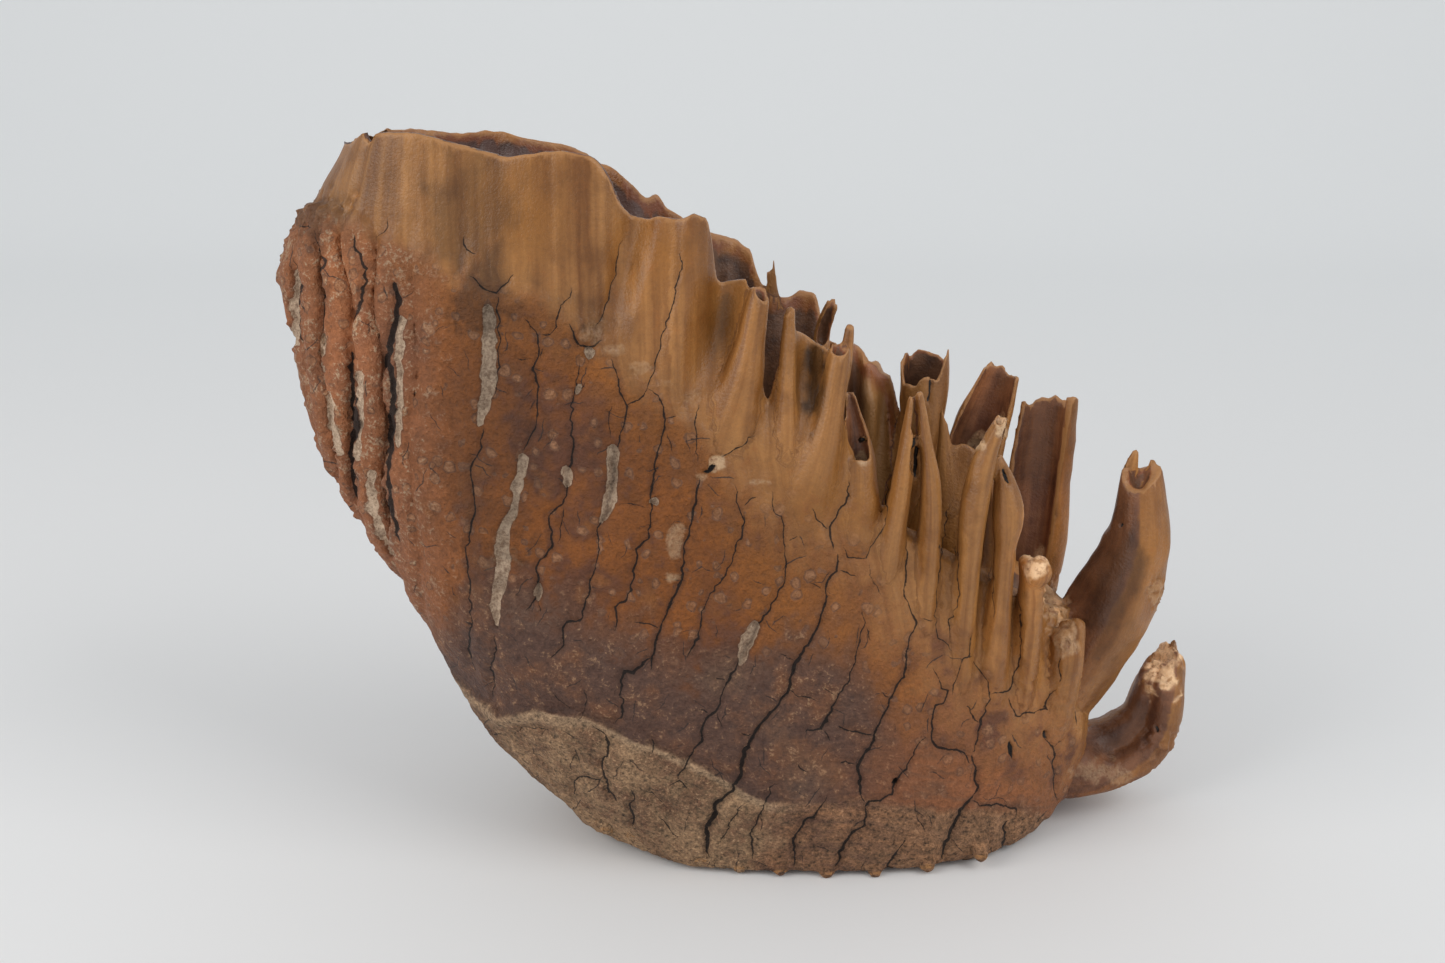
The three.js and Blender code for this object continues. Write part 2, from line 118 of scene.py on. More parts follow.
def soft_step(start, end, x):
    """Nought before start, one after end, and 3f^2 - 2f^3 between them."""
    f = np.clip((x - start) / (end - start), 0, 1)
    return f * f * (3 - 2 * f)


def bell(distance, width):
    """exp(-(distance / width)^2): one in the middle, a third at width."""
    return np.exp(-((distance / width) ** 2))


def cloud(points, size, seed):
    """Soft random values from -1 to 1: a random number at each corner of a lattice of cells of one size,
    blended across the cell with soft steps."""
    grid = np.random.default_rng(seed).uniform(-1, 1, (32, 32, 32))
    place = np.asarray(points) / size + 1000.5
    cell = np.floor(place).astype(int)
    f = place - cell
    f = f * f * (3 - 2 * f)
    low, high = cell % 32, (cell + 1) % 32
    total = 0
    for bits in range(8):
        pick = [high if bits >> axis & 1 else low for axis in range(3)]
        share = np.prod([f[..., axis] if bits >> axis & 1 else 1 - f[..., axis] for axis in range(3)], 0)
        total = total + share * grid[pick[0][..., 0], pick[1][..., 1], pick[2][..., 2]]
    return total


print("a soft step from 0 to 1 reads", soft_step(0, 1, np.array([0.25, 0.5, 0.75])))

# %% [markdown]
# ## The crown
# Seen from the side, the crown is a skewed bowl. Five level lines describe it, from the chewing edge to the
# neck, each by seven places with a height and a half width. Between them the surface is read smoothly, and
# in plan each level is a long oval with square ends. It could be sculpted from a box, but level lines can be
# read off a picture one by one. Grooves and the ledge of the old gum line are pushed in or out from there.

# %% The crown's level lines: x, z and half width in mm
LEVELS = np.array([
    [[-57, 7, 27], [-43, 5, 28.5], [-19, 1.4, 37.5], [8, 1.3, 41], [36, 1.3, 40.5], [62, 2, 37.5], [89, 4, 36]],
    [[-84, 37, 28], [-65, 50, 38], [-36, 43, 43], [-4, 27, 45], [30, 14, 44], [64, 11, 39], [98, 12, 31]],
    [[-101.8, 73, 30], [-81, 80, 41], [-46, 74, 45], [-10, 58, 46], [28, 43, 44], [64, 34, 38], [102, 30, 31]],
    [[-124.6, 117, 31], [-93, 122, 39], [-54, 118, 43], [-16, 98, 44], [22, 79, 42], [60, 62, 37], [101, 49, 30]],
    [[-133, 168, 29], [-101, 177, 34], [-62, 170, 37], [-24, 144, 38], [14, 117, 36], [54, 92, 34], [94, 66, 27]],
])
SOLE = [[-57, 7], [-49, 2.6], [-43, 1.3], [70, 1.3], [82, 2], [89, 4]]  # the chewing surface's middle line
END_FULLNESS = 4.4  # how square the ends are in plan
RING_COUNT = 640
CROWN_ROWS = 190


def crown_read(s, t):
    """x, z and half width at shares s along and t up: the levels read along first, then across."""
    along = smooth_read(LEVELS.transpose(1, 0, 2), s)
    return smooth_read(along.transpose(1, 0, 2), t)


def ring_shares(count):
    """Shares s along the crown and signed fullnesses (near side below nought) round one ring, evenly spaced.
    The oval is x = |cos|^(2 / END_FULLNESS), y = |sin|, then read at equal steps of its length."""
    angle = np.linspace(0, 2 * math.pi, 40001)
    wide = -np.sign(np.cos(angle)) * np.abs(np.cos(angle)) ** (2 / END_FULLNESS)
    s, full = (wide + 1) / 2, -np.sin(angle)
    x, _, half = crown_read(s, np.array([0.6]))[0].T
    steps = np.hypot(np.diff(x), np.diff(half * full))
    length = np.concatenate([[0], np.cumsum(steps)])
    even = np.interp(np.linspace(0, length[-1], count, endpoint=False), length, angle)
    wide = -np.sign(np.cos(even)) * np.abs(np.cos(even)) ** (2 / END_FULLNESS)
    return (wide + 1) / 2, -np.sin(even)


ring_s, ring_full = ring_shares(RING_COUNT)
print("round the crown:", len(ring_s), "places, from s", ring_s.min().round(3), "to", ring_s.max().round(3))

# %% [markdown]
# The grooves of the left end run up the tooth, leaning a little. The folds of the near wall lean too, and
# were read off the photograph: each is a line from a high pixel to a low one, with a height in mm that is
# below nought for a valley, and a width.

# %% Relief of the outside
LEDGE_HEIGHT = 1.7
LEDGE_LEVEL = 0.26
NEAR_COLUMNS = [  # x high up, x low down, depth, half width in mm
    [-126, -127, 2.6, 1.5], [-118.5, -121, 3.0, 1.3], [-110, -115, 3.6, 1.6], [-101.5, -105, 4.0, 1.6],
    [-91, -95, 2.0, 1.4], [-80, -83, 1.1, 1.6],
]
FAR_COLUMNS = [
    [-127, -128, 3.0, 1.9], [-120, -122, 3.8, 2.0], [-111, -115, 4.2, 2.1], [-102, -104, 4.0, 1.9],
    [-92, -93, 3.0, 1.8], [-81, -82, 1.6, 1.8],
]
NEAR_FOLDS = [  # high pixel, low pixel, height, half width in mm
    [(636, 216), (600, 345), -5.2, 4.6],
    [(657, 217), (630, 385), 1.8, 5.0],
    [(674, 217), (652, 395), -0.9, 3.0],
    [(689, 213), (668, 450), 3.0, 4.6],
    [(724, 270), (694, 415), -6.0, 6.0],
    [(740, 280), (706, 410), -3.4, 4.2],
    [(813, 335), (802, 430), -8.0, 4.4],
    [(480, 150), (474, 260), -0.8, 7.0],
    [(530, 150), (527, 280), 0.7, 8.0],
    [(583, 155), (575, 290), 1.0, 7.0],
]
NEAR_DEPTH = -31.0  # y of the near wall, in mm
FAR_FOLDS = [  # x at the neck, height, half width in mm
    [-110, -1.6, 5], [-90, 1.0, 6], [-70, -2.2, 5], [-55, 1.2, 5], [-38, -3.4, 4.5], [-28, 2.0, 4],
    [-18, -4.2, 4.5], [-6, 2.0, 4], [5, -3.8, 4], [14, 1.6, 4], [25, -3.4, 2.6],
    [30, 2.8, 2.4], [34.5, -3.0, 2.4], [38.5, 2.4, 2.2], [42.5, -2.8, 2.4],
]


def column_relief(x, z, side):
    """Grooves: for each, minus its depth times a bell about a line that leans from its high to its low x."""
    fall = soft_step(175, 90, z)
    out = 0
    for columns, where in ((NEAR_COLUMNS, side < 0), (FAR_COLUMNS, side > 0)):
        for high, low, depth, width in columns:
            wander = 0.9 * np.sin(z / 9 + high) + 0.5 * np.sin(z / 3.7 + 2 * high)
            out = out - where * depth * bell(x - mix(high, low, fall) - wander, width)
    return out * soft_step(42, 80, z) * soft_step(192, 176, z)


def fold_relief(x, z, side, rise):
    """Folds of the cup's walls: bells about leaning lines on the near side, about upright ones on the far
    side, where rise tells how far above the neck a place is."""
    out = 0
    for high, low, height, width in NEAR_FOLDS:
        (x_high, z_high), (x_low, z_low) = from_photo([high, low], NEAR_DEPTH)
        f = (z - z_low) / (z_high - z_low)
        out = out + height * (side < 0) * bell(x - mix(x_low, x_high, f), width) * soft_step(-0.1, 0.6, f)
    for at, height, width in FAR_FOLDS:
        out = out + height * (side > 0) * bell(x - at, width) * soft_step(-12, 14, rise)
    return out


def ledge_relief(x, t):
    """The swelling below the old gum line: it sets in at the foot and ends in a step at one level."""
    swelling = soft_step(LEDGE_LEVEL + 0.014, LEDGE_LEVEL - 0.014, t) * soft_step(0, 0.12, t)
    return LEDGE_HEIGHT * swelling * soft_step(25, -25, x)


def push_out(ring, amount):
    """Moves rings (rows, count, 3) outwards in plan: along the level normal of the ring at each place."""
    along = np.roll(ring, -1, 1) - np.roll(ring, 1, 1)
    out = np.stack([along[..., 1], -along[..., 0], 0 * along[..., 0]], -1)
    out /= np.linalg.norm(out, axis=-1, keepdims=True) + 1e-9
    return ring + out * amount[..., None]


t_rows = np.linspace(0, 1, CROWN_ROWS)
x, z, half = crown_read(ring_s, t_rows).transpose(2, 0, 1)
outside = np.stack([x, half * ring_full, z], -1)
ends_fade = soft_step(0.05, 0.35, np.abs(ring_full))
relief = column_relief(x, z, ring_full) * ends_fade + ledge_relief(x, t_rows[:, None])
relief = relief + fold_relief(x, z, ring_full, z - z[-1])
outside = push_out(outside, relief)
print("crown outside:", outside.shape[0], "rows, z from", outside[..., 2].min().round(1), "to",
      outside[..., 2].max().round(1))

# %% [markdown]
# ## The cup
# The neck carries a thin wall that leans inwards and ends in a broken rim. The same ring goes up the
# outside, over the rim and down the inside, so the wall has a thickness everywhere. The rim's height is read
# off the photograph for each side, and small teeth are added to it, because it is a break.

# %% The broken rim, x and z in mm from left to right
NEAR_RIM = [
    [-133, 205], [-124, 206], [-114, 209], [-111, 205.5], [-108, 209], [-104, 210], [-90, 209], [-77, 205.5],
    [-66, 203], [-58, 204], [-51, 205], [-44, 203.5], [-42, 202], [-39, 197], [-36.5, 190], [-34, 187],
    [-31, 187], [-27, 188.3], [-21, 187.7], [-17.8, 189.4], [-14, 187.4], [-13.2, 183.6], [-12.2, 177],
    [-11.6, 171], [-10.1, 169.3], [-5.4, 170.5], [-3.3, 171], [-2, 164], [0, 148], [2.2, 136], [4.4, 147],
    [8.4, 153], [9.9, 157], [12, 155], [14.8, 153], [18.8, 152], [21, 145], [24, 128], [30, 115], [36, 105],
    [42, 99], [100, 60],
]
FAR_RIM = [
    [-133, 205], [-114, 206], [-86, 203], [-80, 205], [-74, 204], [-62, 201], [-51, 198], [-46, 194], [-42, 193],
    [-37, 189], [-33, 184], [-30, 186], [-27, 181.5], [-20, 178], [-13, 174.8], [-8, 172.4], [-2, 170.3],
    [-0.4, 165], [2.7, 157.5], [5.3, 156.4], [10.7, 155.4], [13, 157], [17.8, 157], [19.1, 153], [20.4, 147.8],
    [22.3, 143.2], [25, 142.4], [27.4, 139.0], [30, 140.8], [33, 138.6], [34.8, 135.0], [37.2, 136.2],
    [39.4, 131.2], [41.2, 131.6], [43, 126], [46, 112], [50, 101],
    [100, 60],
]
CUP_LEAN = 19.0  # the rim lies this far in from the neck at the left end
CUP_LEAN_FROM = -84.0
NECK_TUCK = 0.84
CUP_DEPTH = 45.0
VALLEY_DEPTH = 8.0
FLOOR_WALL = 14.0
RIM_WALL = 2.0
WALL_ROWS = 56
INSIDE_ROWS = 70

neck_x, neck_z, neck_half = crown_read(ring_s, np.array([1.0]))[0].T
side = soft_step(-0.15, 0.15, ring_full)
jag_line = np.stack([neck_x, 20 * np.sign(ring_full), 0 * neck_x], -1)
jags = 0.8 * cloud(jag_line, 2.3, 1) + 0.9 * cloud(jag_line, 5.1, 2)
rim_z = mix(line_read(NEAR_RIM, neck_x), line_read(FAR_RIM, neck_x), side)
rim_z = np.minimum(rim_z + jags * mix(0.45, 1.0, side) * soft_step(2, 10, rim_z - neck_z), 209)
wall_height = np.maximum(rim_z - neck_z, 2)
leftness = np.maximum(0, (CUP_LEAN_FROM - neck_x) / (CUP_LEAN_FROM - LEVELS[4, 0, 0]))


def wall_rows(f, folds=1.0):
    """The neck ring carried up to shares f of the wall: it leans right at the left end, narrows, and takes
    the folds on."""
    f = f[:, None]
    x = neck_x + CUP_LEAN * leftness**1.4 * f**1.3
    z = neck_z + wall_height * f
    y = neck_half * ring_full * mix(1, NECK_TUCK, f)
    out = column_relief(x, z, ring_full) * ends_fade + folds * fold_relief(x, z, ring_full, z - neck_z)
    return push_out(np.stack([x, y, z], -1), out)


wall = wall_rows(np.linspace(0, 1, WALL_ROWS)[1:])
print("cup wall:", len(wall), "rows, rim from", rim_z.min().round(1), "to", rim_z.max().round(1))

# %% [markdown]
# The inside follows the rim down. Its wall grows thicker with the depth, and the floor closes it. Towards the
# right the cup runs out into a shallow valley between the two rows of roots.

# %% The inside of the cup and the valley floor
to_right = soft_step(-10, 55, neck_x)
floor_z = neck_z - mix(CUP_DEPTH, VALLEY_DEPTH, to_right)
rim = wall_rows(np.array([1.0]), 0.0)[0]  # without folds


def inside_rows(f):
    """The rim drawn in by a wall that thickens with the depth, and let down to the floor."""
    f = f[:, None]
    thick = mix(mix(RIM_WALL, 11, soft_step(20, 62, neck_x)), FLOOR_WALL, f**1.6)
    left, right = rim[:, 0].min(), rim[:, 0].max()
    middle = (left + right) / 2
    x = middle + (rim[:, 0] - middle) * (1 - 2 * thick / (right - left))
    y = rim[:, 1] * (1 - thick / (neck_half * NECK_TUCK))
    y = y - np.sign(y) * 1.5 * bell(f, 0.8) * soft_step(0, 0.2, f) * (1 + np.sin(neck_x / 1.45 + 4 * f)) * side
    z = mix(rim[:, 2], floor_z, f)
    folds = fold_relief(x, z, ring_full, z - neck_z) * mix(1, 0.5, f) * soft_step(-8, 4, z - neck_z)
    return push_out(np.stack([x, y, z], -1), folds)


def folded(ring, rows, sag):
    """Rows that draw a ring together on to its middle line, let down by sag there."""
    f = np.linspace(1, 0, rows + 1)[1:, None]
    flat = np.stack([mix(ring[:, 0].mean(), ring[:, 0], 0.97 + 0.03 * f), ring[:, 1] * f,
                     ring[:, 2] - sag * (1 - f**2)], -1)
    return flat


inside = inside_rows(np.linspace(0, 1, INSIDE_ROWS))
floor = folded(inside[-1], 16, 1.5)
floor[..., 2] += 0.9 * np.sin(2 * math.pi * floor[..., 0] / 6.3) * np.linspace(0, 1, 16)[:, None]
print("cup inside:", len(inside), "rows, floor of the cup at", inside[-1, :, 2].min().round(1))

# %% [markdown]
# ## The chewing surface
# The worn surface shows each plate as a long flat loop of hard enamel, proud of the softer fill around it.
# The loops run across the tooth. The tooth stands on them, so their crests share one level.

# %% Enamel loops under the crown
RIDGE_PITCH = 12.6
RIDGE_FIRST = -38.0
RIDGE_COUNT = 10
RIDGE_HALF = 3.2
RIDGE_HEIGHT = 1.3
SOLE_ROWS = 44


def ridge_relief(x, y, half):
    """How far the loops stand down: one band of enamel round each plate, a shallow dish inside it."""
    number = np.clip(np.round((x - RIDGE_FIRST) / RIDGE_PITCH), 0, RIDGE_COUNT - 1)
    across = np.abs(x - RIDGE_FIRST - number * RIDGE_PITCH + 0.5 * np.sin(y / 5 + number))
    along = np.maximum(np.abs(y) - np.maximum(half - 2 - RIDGE_HALF, 0), 0)
    edge = np.hypot(across, along) - RIDGE_HALF
    plate = soft_step(0.5, -0.35, edge)
    dish = soft_step(-1.0, -1.7, edge)
    return RIDGE_HEIGHT * plate * (1 - 0.55 * dish)


ring_foot = outside[0]
share = np.linspace(0, 1, SOLE_ROWS + 1)[:-1, None]
sole = np.stack([ring_foot[:, 0] + 0 * share, ring_foot[:, 1] * share,
                 mix(line_read(SOLE, ring_foot[:, 0]), ring_foot[:, 2], share**2)], -1)
foot_rise = np.maximum(ring_foot[:, 2] - line_read(SOLE, ring_foot[:, 0]), 0.1)
reach = np.abs(ring_foot[:, 1]) * np.clip(1.6 / foot_rise, 0, 1)
drop = ridge_relief(sole[..., 0], sole[..., 1], reach)
sole[..., 2] = np.maximum(sole[..., 2] - drop, 0)
print("chewing surface: lowest point", sole[..., 2].min().round(2), "mm")

# %% [markdown]
# ## From rows to a closed mesh
# Each part is a stack of rings. A ring whose neighbour is folded flat closes the end. Every place also gets
# labels, which the finished skin picks up later from whatever lies nearest: which kind of surface it is, how
# far it is from a broken edge, and where it lies along the grain. The inside of a hollow is painted dark as
# painted shade, and the second label also carries painted light just below the far rim and painted shade
# in the valleys of the folds.

# %% Rings to a mesh with labels


def ring_faces(rows, count, first):
    """Quads between neighbouring rows of rings, wound so that they face out when the rows go up."""
    i, j = np.meshgrid(np.arange(rows - 1), np.arange(count), indexing="ij")
    nxt = (j + 1) % count
    quads = np.stack([i * count + j, i * count + nxt, (i + 1) * count + nxt, (i + 1) * count + j], -1)
    return quads.reshape(-1, 4) + first


def end_faces(count, first, up):
    """Quads and triangles that zip a folded ring along its middle line."""
    j = np.arange(1, count // 2)
    low, high = first + j, first + count - j
    nxt_low, nxt_high = np.roll(low, -1), np.roll(high, -1)
    quads = np.stack([low, nxt_low, nxt_high, high], 1)[:-1]
    tips = np.array([[first, low[0], high[0]], [low[-1], first + count // 2, high[-1]]])
    return (quads, tips) if up else (quads[:, ::-1], tips[:, ::-1])


def write_field(mesh, title, values):
    """Stores values (n, 3) at the mesh's points under a title."""
    field = mesh.attributes.new(title, "FLOAT_VECTOR", "POINT")
    field.data.foreach_set("vector", np.asarray(values, np.float32).ravel())


def read_field(mesh, title):
    """The values (n, 3) stored at the mesh's points."""
    values = np.empty(len(mesh.vertices) * 3, np.float32)
    mesh.attributes[title].data.foreach_get("vector", values)
    return values.reshape(-1, 3).astype(float)


class Skin:
    """Collects the parts' points, labels and faces, and puts them into one mesh."""

    def __init__(self):
        self.points, self.labels, self.grains, self.quads, self.tris, self.total = [], [], [], [], [], 0

    def add(self, rows, labels, grain):
        """Adds one closed stack of rings: rows (m, n, 3), labels (m, n, 3), grain (m, n, 3)."""
        m, n = rows.shape[:2]
        self.quads.append(ring_faces(m, n, self.total))
        for first, up in ((self.total, False), (self.total + (m - 1) * n, True)):
            quads, tips = end_faces(n, first, up)
            self.quads.append(quads)
            self.tris.append(tips)
        self.points.append(rows.reshape(-1, 3))
        self.labels.append(labels.reshape(-1, 3))
        self.grains.append(grain.reshape(-1, 3))
        self.total += m * n

    def mesh(self, name):
        """One mesh in metres, with the labels and the grain (in mm) as two vector attributes."""
        points = np.concatenate(self.points) + [SHIFT_X, 0, 0]
        faces = np.concatenate(self.quads).tolist() + np.concatenate(self.tris).tolist()
        mesh = bpy.data.meshes.new(name)
        mesh.from_pydata((points * MM).tolist(), [], faces)
        for title, values in (("labels", self.labels), ("grain", self.grains)):
            write_field(mesh, title, np.concatenate(values))
        return mesh


skin = Skin()
rows = np.concatenate([sole, outside, wall, inside, floor])
neck_row = len(sole) + len(outside)
rim_row = neck_row + len(wall) - 1
labels = np.zeros(rows.shape)
labels[rim_row + 1:, :, 0] = 1  # first label: inside
edge_width = mix(1.3, 2.6, side)
labels[..., 1] = bell(np.linalg.norm(rows - rows[rim_row], axis=-1), edge_width) * (wall_height > 8)  # second: edge
walls = slice(len(sole), rim_row + 1)
wall_rise = rows[walls, :, 2] - neck_z
inner = slice(rim_row + 1, rim_row + 1 + INSIDE_ROWS)
below_rim = rim_z - rows[inner, :, 2]
# painted light: on the far side the inside of the cup is painted lighter just below the rim, where light reaches
rim_light_reach = mix(2.0, 5.0, soft_step(-52, -36, neck_x))
labels[inner, :, 1] += 0.4 * bell(below_rim, rim_light_reach) * side * (wall_height > 8)
# painted shade: in the valleys of the folds the second label falls below nought, which paints them darker
valley = np.minimum(fold_relief(rows[walls, :, 0], rows[walls, :, 2], ring_full, wall_rise), 0)
labels[walls, :, 1] += valley / 8 * soft_step(0, 3, np.abs(rows[walls, :, 2] - rim_z))  # below nought in a valley
level = np.cumsum(np.concatenate([np.zeros((1, RING_COUNT)), np.linalg.norm(np.diff(rows, axis=0), axis=-1)]), 0)
grain = np.stack([neck_x + 0 * level, 25 * np.sign(ring_full) + 0 * level, level], -1)
skin.add(rows, labels, grain)
print("crown and cup:", skin.total, "places")

# %% [markdown]
# ## The roots
# A root is an oval carried along a bent path. Most of them are hollow and broken off, so the wall ends at a
# different height all round: a near wall may be gone while the far one still stands. One function makes
# them all: the outside goes up to the break, and the inside comes down again and closes. Splinters are small
# roots, for the jagged plates at the breaks and the bumps under the crown.

# %% The roots' paths and sizes in mm, from deep in the crown to the tip
# Each root has a path, and half widths along the picture and across it. Angles are in degrees, 270 is near.
# bore: where the hollow starts; wall: its thickness; heavy: how much more wall at the right side
# shell: an open one, whose inside is painted as a broken face and not dark with the painted shade of a hollow
# gone: share of the length broken away about the angle turn; jag: height of the teeth of the break in mm
# keel: a ridge, and dent: a scoop, both facing near; shaded_flank: angle of a flank painted in shade;
# far: in the far row
ROOTS = [
    dict(path=[[-18, -26, 94], [-11.5, -30, 122], [-4.6, -31.5, 146], [-0.2, -30, 169.5]],
         along=[11, 11.5, 5.6, 2.5], across=[8, 8.5, 6.4, 3.0], bore=0.9, wall=0.8, gone=0.03, turn=330, jag=1.8),
    dict(path=[[2, -26, 84], [6.2, -30.5, 110], [7.0, -30.5, 137], [7.9, -27, 163]], along=[6, 5, 3.2, 1.3],
         across=[7, 6, 4.4, 1.6], gone=0.02, turn=200, jag=0.5),
    dict(path=[[0, -26, 70], [9, -30.5, 101], [17, -31.5, 128], [21.6, -30, 154]], along=[9, 11, 5.2, 2.7],
         across=[8, 8, 6.4, 3.4], bore=0.88, wall=0.8, gone=0.03, turn=240, jag=1.6),
    dict(path=[[23, -26, 74], [26.6, -30, 102], [27.4, -28.5, 121], [24.6, -24, 140]], along=[6, 6.4, 4.6, 1.2],
         across=[8, 7.5, 4.4, 1.6], bore=0.5, wall=0.7, gone=0.3, turn=268, jag=1.6, shell=True),
    dict(path=[[31, -26, 54], [35, -30.5, 88], [38.4, -33, 114], [41.8, -31, 140]], along=[4.8, 4.3, 3.0, 1.9],
         across=[7, 6.6, 4.6, 2.2], bore=0.78, wall=0.6, gone=0.12, turn=320, jag=0.9),
    dict(path=[[45, -26, 48], [46.7, -31, 84], [46.8, -32.5, 114], [43, -30, 141]], along=[4.8, 3.7, 2.6, 0.9],
         across=[7, 6.6, 4.8, 1.5], gone=0, turn=0, jag=0.3),
    dict(path=[[57, -24, 40], [57.2, -29, 64], [58, -31.3, 87], [59, -32, 108], [61.2, -31.5, 123], [65.8, -30, 134.5]],
         along=[4.8, 4.3, 3.5, 3.5, 3.4, 1.7], across=[8, 7.6, 6.6, 5.4, 4, 2.2], bore=0.9, wall=0.6, gone=0.03,
         turn=235, jag=1.2),
    dict(path=[[66, -22, 36], [67, -28, 60], [67.8, -30.3, 80], [68.2, -31, 95], [68.5, -30.5, 108],
               [65.9, -28.5, 123]],
         along=[4.8, 4.4, 3.6, 3.1, 4.1, 0.9], across=[8, 7.4, 6, 5, 4.6, 1.4], gone=0, turn=0, jag=0.2),
    dict(path=[[76, -17, 32], [76.8, -24, 60], [77, -27, 80], [76.4, -27, 92]], along=[4.4, 4.2, 3.9, 3.5],
         across=[8, 7.4, 5.6, 4], gone=0.03, turn=20, jag=0.9),
    dict(path=[[85, -10, 20], [88, -16.5, 42], [90, -20.5, 58], [90.5, -20, 69.5]], along=[5.5, 5.8, 5.2, 4.6],
         across=[8, 7.4, 5.8, 4.0], gone=0.08, turn=200, jag=2.2),
    dict(path=[[40, 19, 72], [46, 20, 98], [50, 20, 120], [50.4, 20, 140.5]], along=[7, 7, 6.8, 7.3],
         across=[9, 9.5, 8.5, 6.6], bore=0.5, wall=0.9, gone=0.1, turn=245, jag=4.2, far=True),
    dict(path=[[58, 21, 66], [63, 22, 90], [67.6, 21, 114], [73.6, 20, 135.5]], along=[8, 9, 8.9, 5.3],
         across=[9, 9, 8, 6], bore=0.16, wall=1.1, gone=0.66, turn=252, jag=3.0, far=True, shell=True),
    dict(path=[[80, 19, 48], [86, 22, 74], [87.3, 23, 100], [88.6, 22, 126]], along=[9, 10.4, 10.1, 8.5],
         across=[8, 6, 5.2, 4.8], bore=0.12, wall=1.5, gone=0.8, turn=238, jag=2.6, far=True, shell=True, heavy=1.2),
    dict(path=[[88, 2, 32], [104, 2, 61], [113.3, 2, 86], [113.2, 2, 110.5]], along=[12, 13.5, 10, 5.9],
         across=[15, 13, 9.5, 3.8], bore=0.9, wall=2.1, gone=0.03, turn=250, jag=4.4, far=True, keel=0.26,
         heavy=0.5, shaded_flank=198),
    dict(path=[[84, 4, 17], [103, 4, 15.5], [120.5, 4, 24.5], [126, 4, 49]], along=[12, 9.4, 9.8, 6.2],
         across=[19, 17, 12, 6.5], gone=0.1, turn=190, jag=4.2, far=True, dent=0.72, shaded_flank=232),
]
SPLINTERS = [
    dict(path=[[6.6, 27, 152], [5.6, 26.5, 159], [5.1, 26, 167]], along=[1.5, 1.0, 0.55], across=[1.6, 1.2, 0.6]),
    dict(path=[[4.4, 27, 152], [4.0, 26.5, 158], [3.3, 26, 163.5]], along=[1.4, 1.0, 0.5], across=[1.6, 1.2, 0.6]),
    dict(path=[[20, 22, 136], [19.6, 21, 146], [22.4, 19, 156]], along=[3.0, 2.7, 1.5], across=[3, 2.6, 1.4],
         bore=0.3, wall=0.55, gone=0.6, turn=285, jag=0.9),
    dict(path=[[21, -27, 140], [23, -26, 149], [24.2, -25, 157.8]], along=[2.4, 1.7, 1.0], across=[2.6, 1.8, 1.0]),
    dict(path=[[56, 0, 84], [58, 0, 98], [59.5, 0, 108], [60, 0, 115]], along=[13, 11, 8.6, 6.0],
         across=[2.6, 2.2, 1.6, 1.0], jag=1.0),
    dict(path=[[56, 0, 98], [55, 0, 110], [54.4, 0, 119], [53.4, -1, 129]], along=[4, 3.2, 2.0, 0.8],
         across=[2.6, 2.2, 1.6, 0.8], gone=0.12, turn=10, jag=1.5),
    dict(path=[[67, -20, 84], [66, -20, 96], [65.4, -20, 107], [64.6, -20, 114.5]], along=[5, 4.0, 1.6, 0.8],
         across=[2.6, 2.2, 1.4, 0.8], jag=0.4),
    dict(path=[[110, 4.5, 103], [110.4, 4.5, 109], [111.5, 4.5, 114.5]], along=[2.8, 2.2, 0.8],
         across=[1.4, 1.0, 0.6], jag=0.8),
    dict(path=[[115.6, 3.5, 103], [116.6, 3.5, 108], [116.4, 3.2, 112]], along=[2.4, 2.0, 0.9],
         across=[1.4, 1.0, 0.6], jag=0.8),
    dict(path=[[77.0, -28, 86], [78.2, -30.4, 89.4], [78.6, -30.2, 93.4]], along=[2.0, 3.6, 2.0],
         across=[2.0, 3.4, 2.0]),
]

# %% [markdown]
# A root's surface is a grid of shares up its path and angles round it. Two sideways directions, square to the
# path, carry the oval, and soft noise makes it swell here and there.

# %% Carrying an oval along a path
ROOT_COUNT = 96
ROOT_ROWS = 110
BORE_ROWS = 60
DOME_ROWS = 9
KEEL_ANGLE = math.radians(262)
DENT_ANGLE = math.radians(235)


def root_frame(path, u):
    """Centres and the two sideways directions at shares u: along in the picture's plane, across away from
    the viewer, both square to the path."""
    centre = smooth_read(path, u)
    ahead = smooth_read(path, u + 0.01) - smooth_read(path, u - 0.01)
    ahead /= np.linalg.norm(ahead, axis=1, keepdims=True)
    along = np.stack([ahead[:, 2], 0 * ahead[:, 0], -ahead[:, 0]], 1)
    along /= np.linalg.norm(along, axis=1, keepdims=True)
    return centre, along, np.cross(ahead, along)


def root_surface(root, u, angle, shrink, swell=1.0):
    """Points at shares u and angles: centre + half along * cos + half across * sin, less shrink all round."""
    shape = u.shape
    centre, along, across = root_frame(root["path"], u.ravel())
    heavy = 1 + root.get("heavy", 0) * np.maximum(0, np.cos(angle.ravel())) ** 2
    reach_along = np.maximum(smooth_read(root["along"], u.ravel()) - shrink.ravel() * heavy, 0.25)
    reach_across = np.maximum(smooth_read(root["across"], u.ravel()) - shrink.ravel(), 0.25)
    angle = angle.ravel()
    keel = 1 + root.get("keel", 0) * np.maximum(0, np.cos(angle - KEEL_ANGLE)) ** 6
    dent = root.get("dent", 0) * bell(angle - DENT_ANGLE, 0.72) * soft_step(0.3, 0.5, u.ravel())
    size = np.broadcast_to(swell, shape).ravel() * keel * (1 - dent * soft_step(0.96, 0.78, u.ravel()))
    points = centre + along * (reach_along * size * np.cos(angle))[:, None]
    points = points + across * (reach_across * size * np.sin(angle))[:, None]
    return points.reshape(shape + (3,))


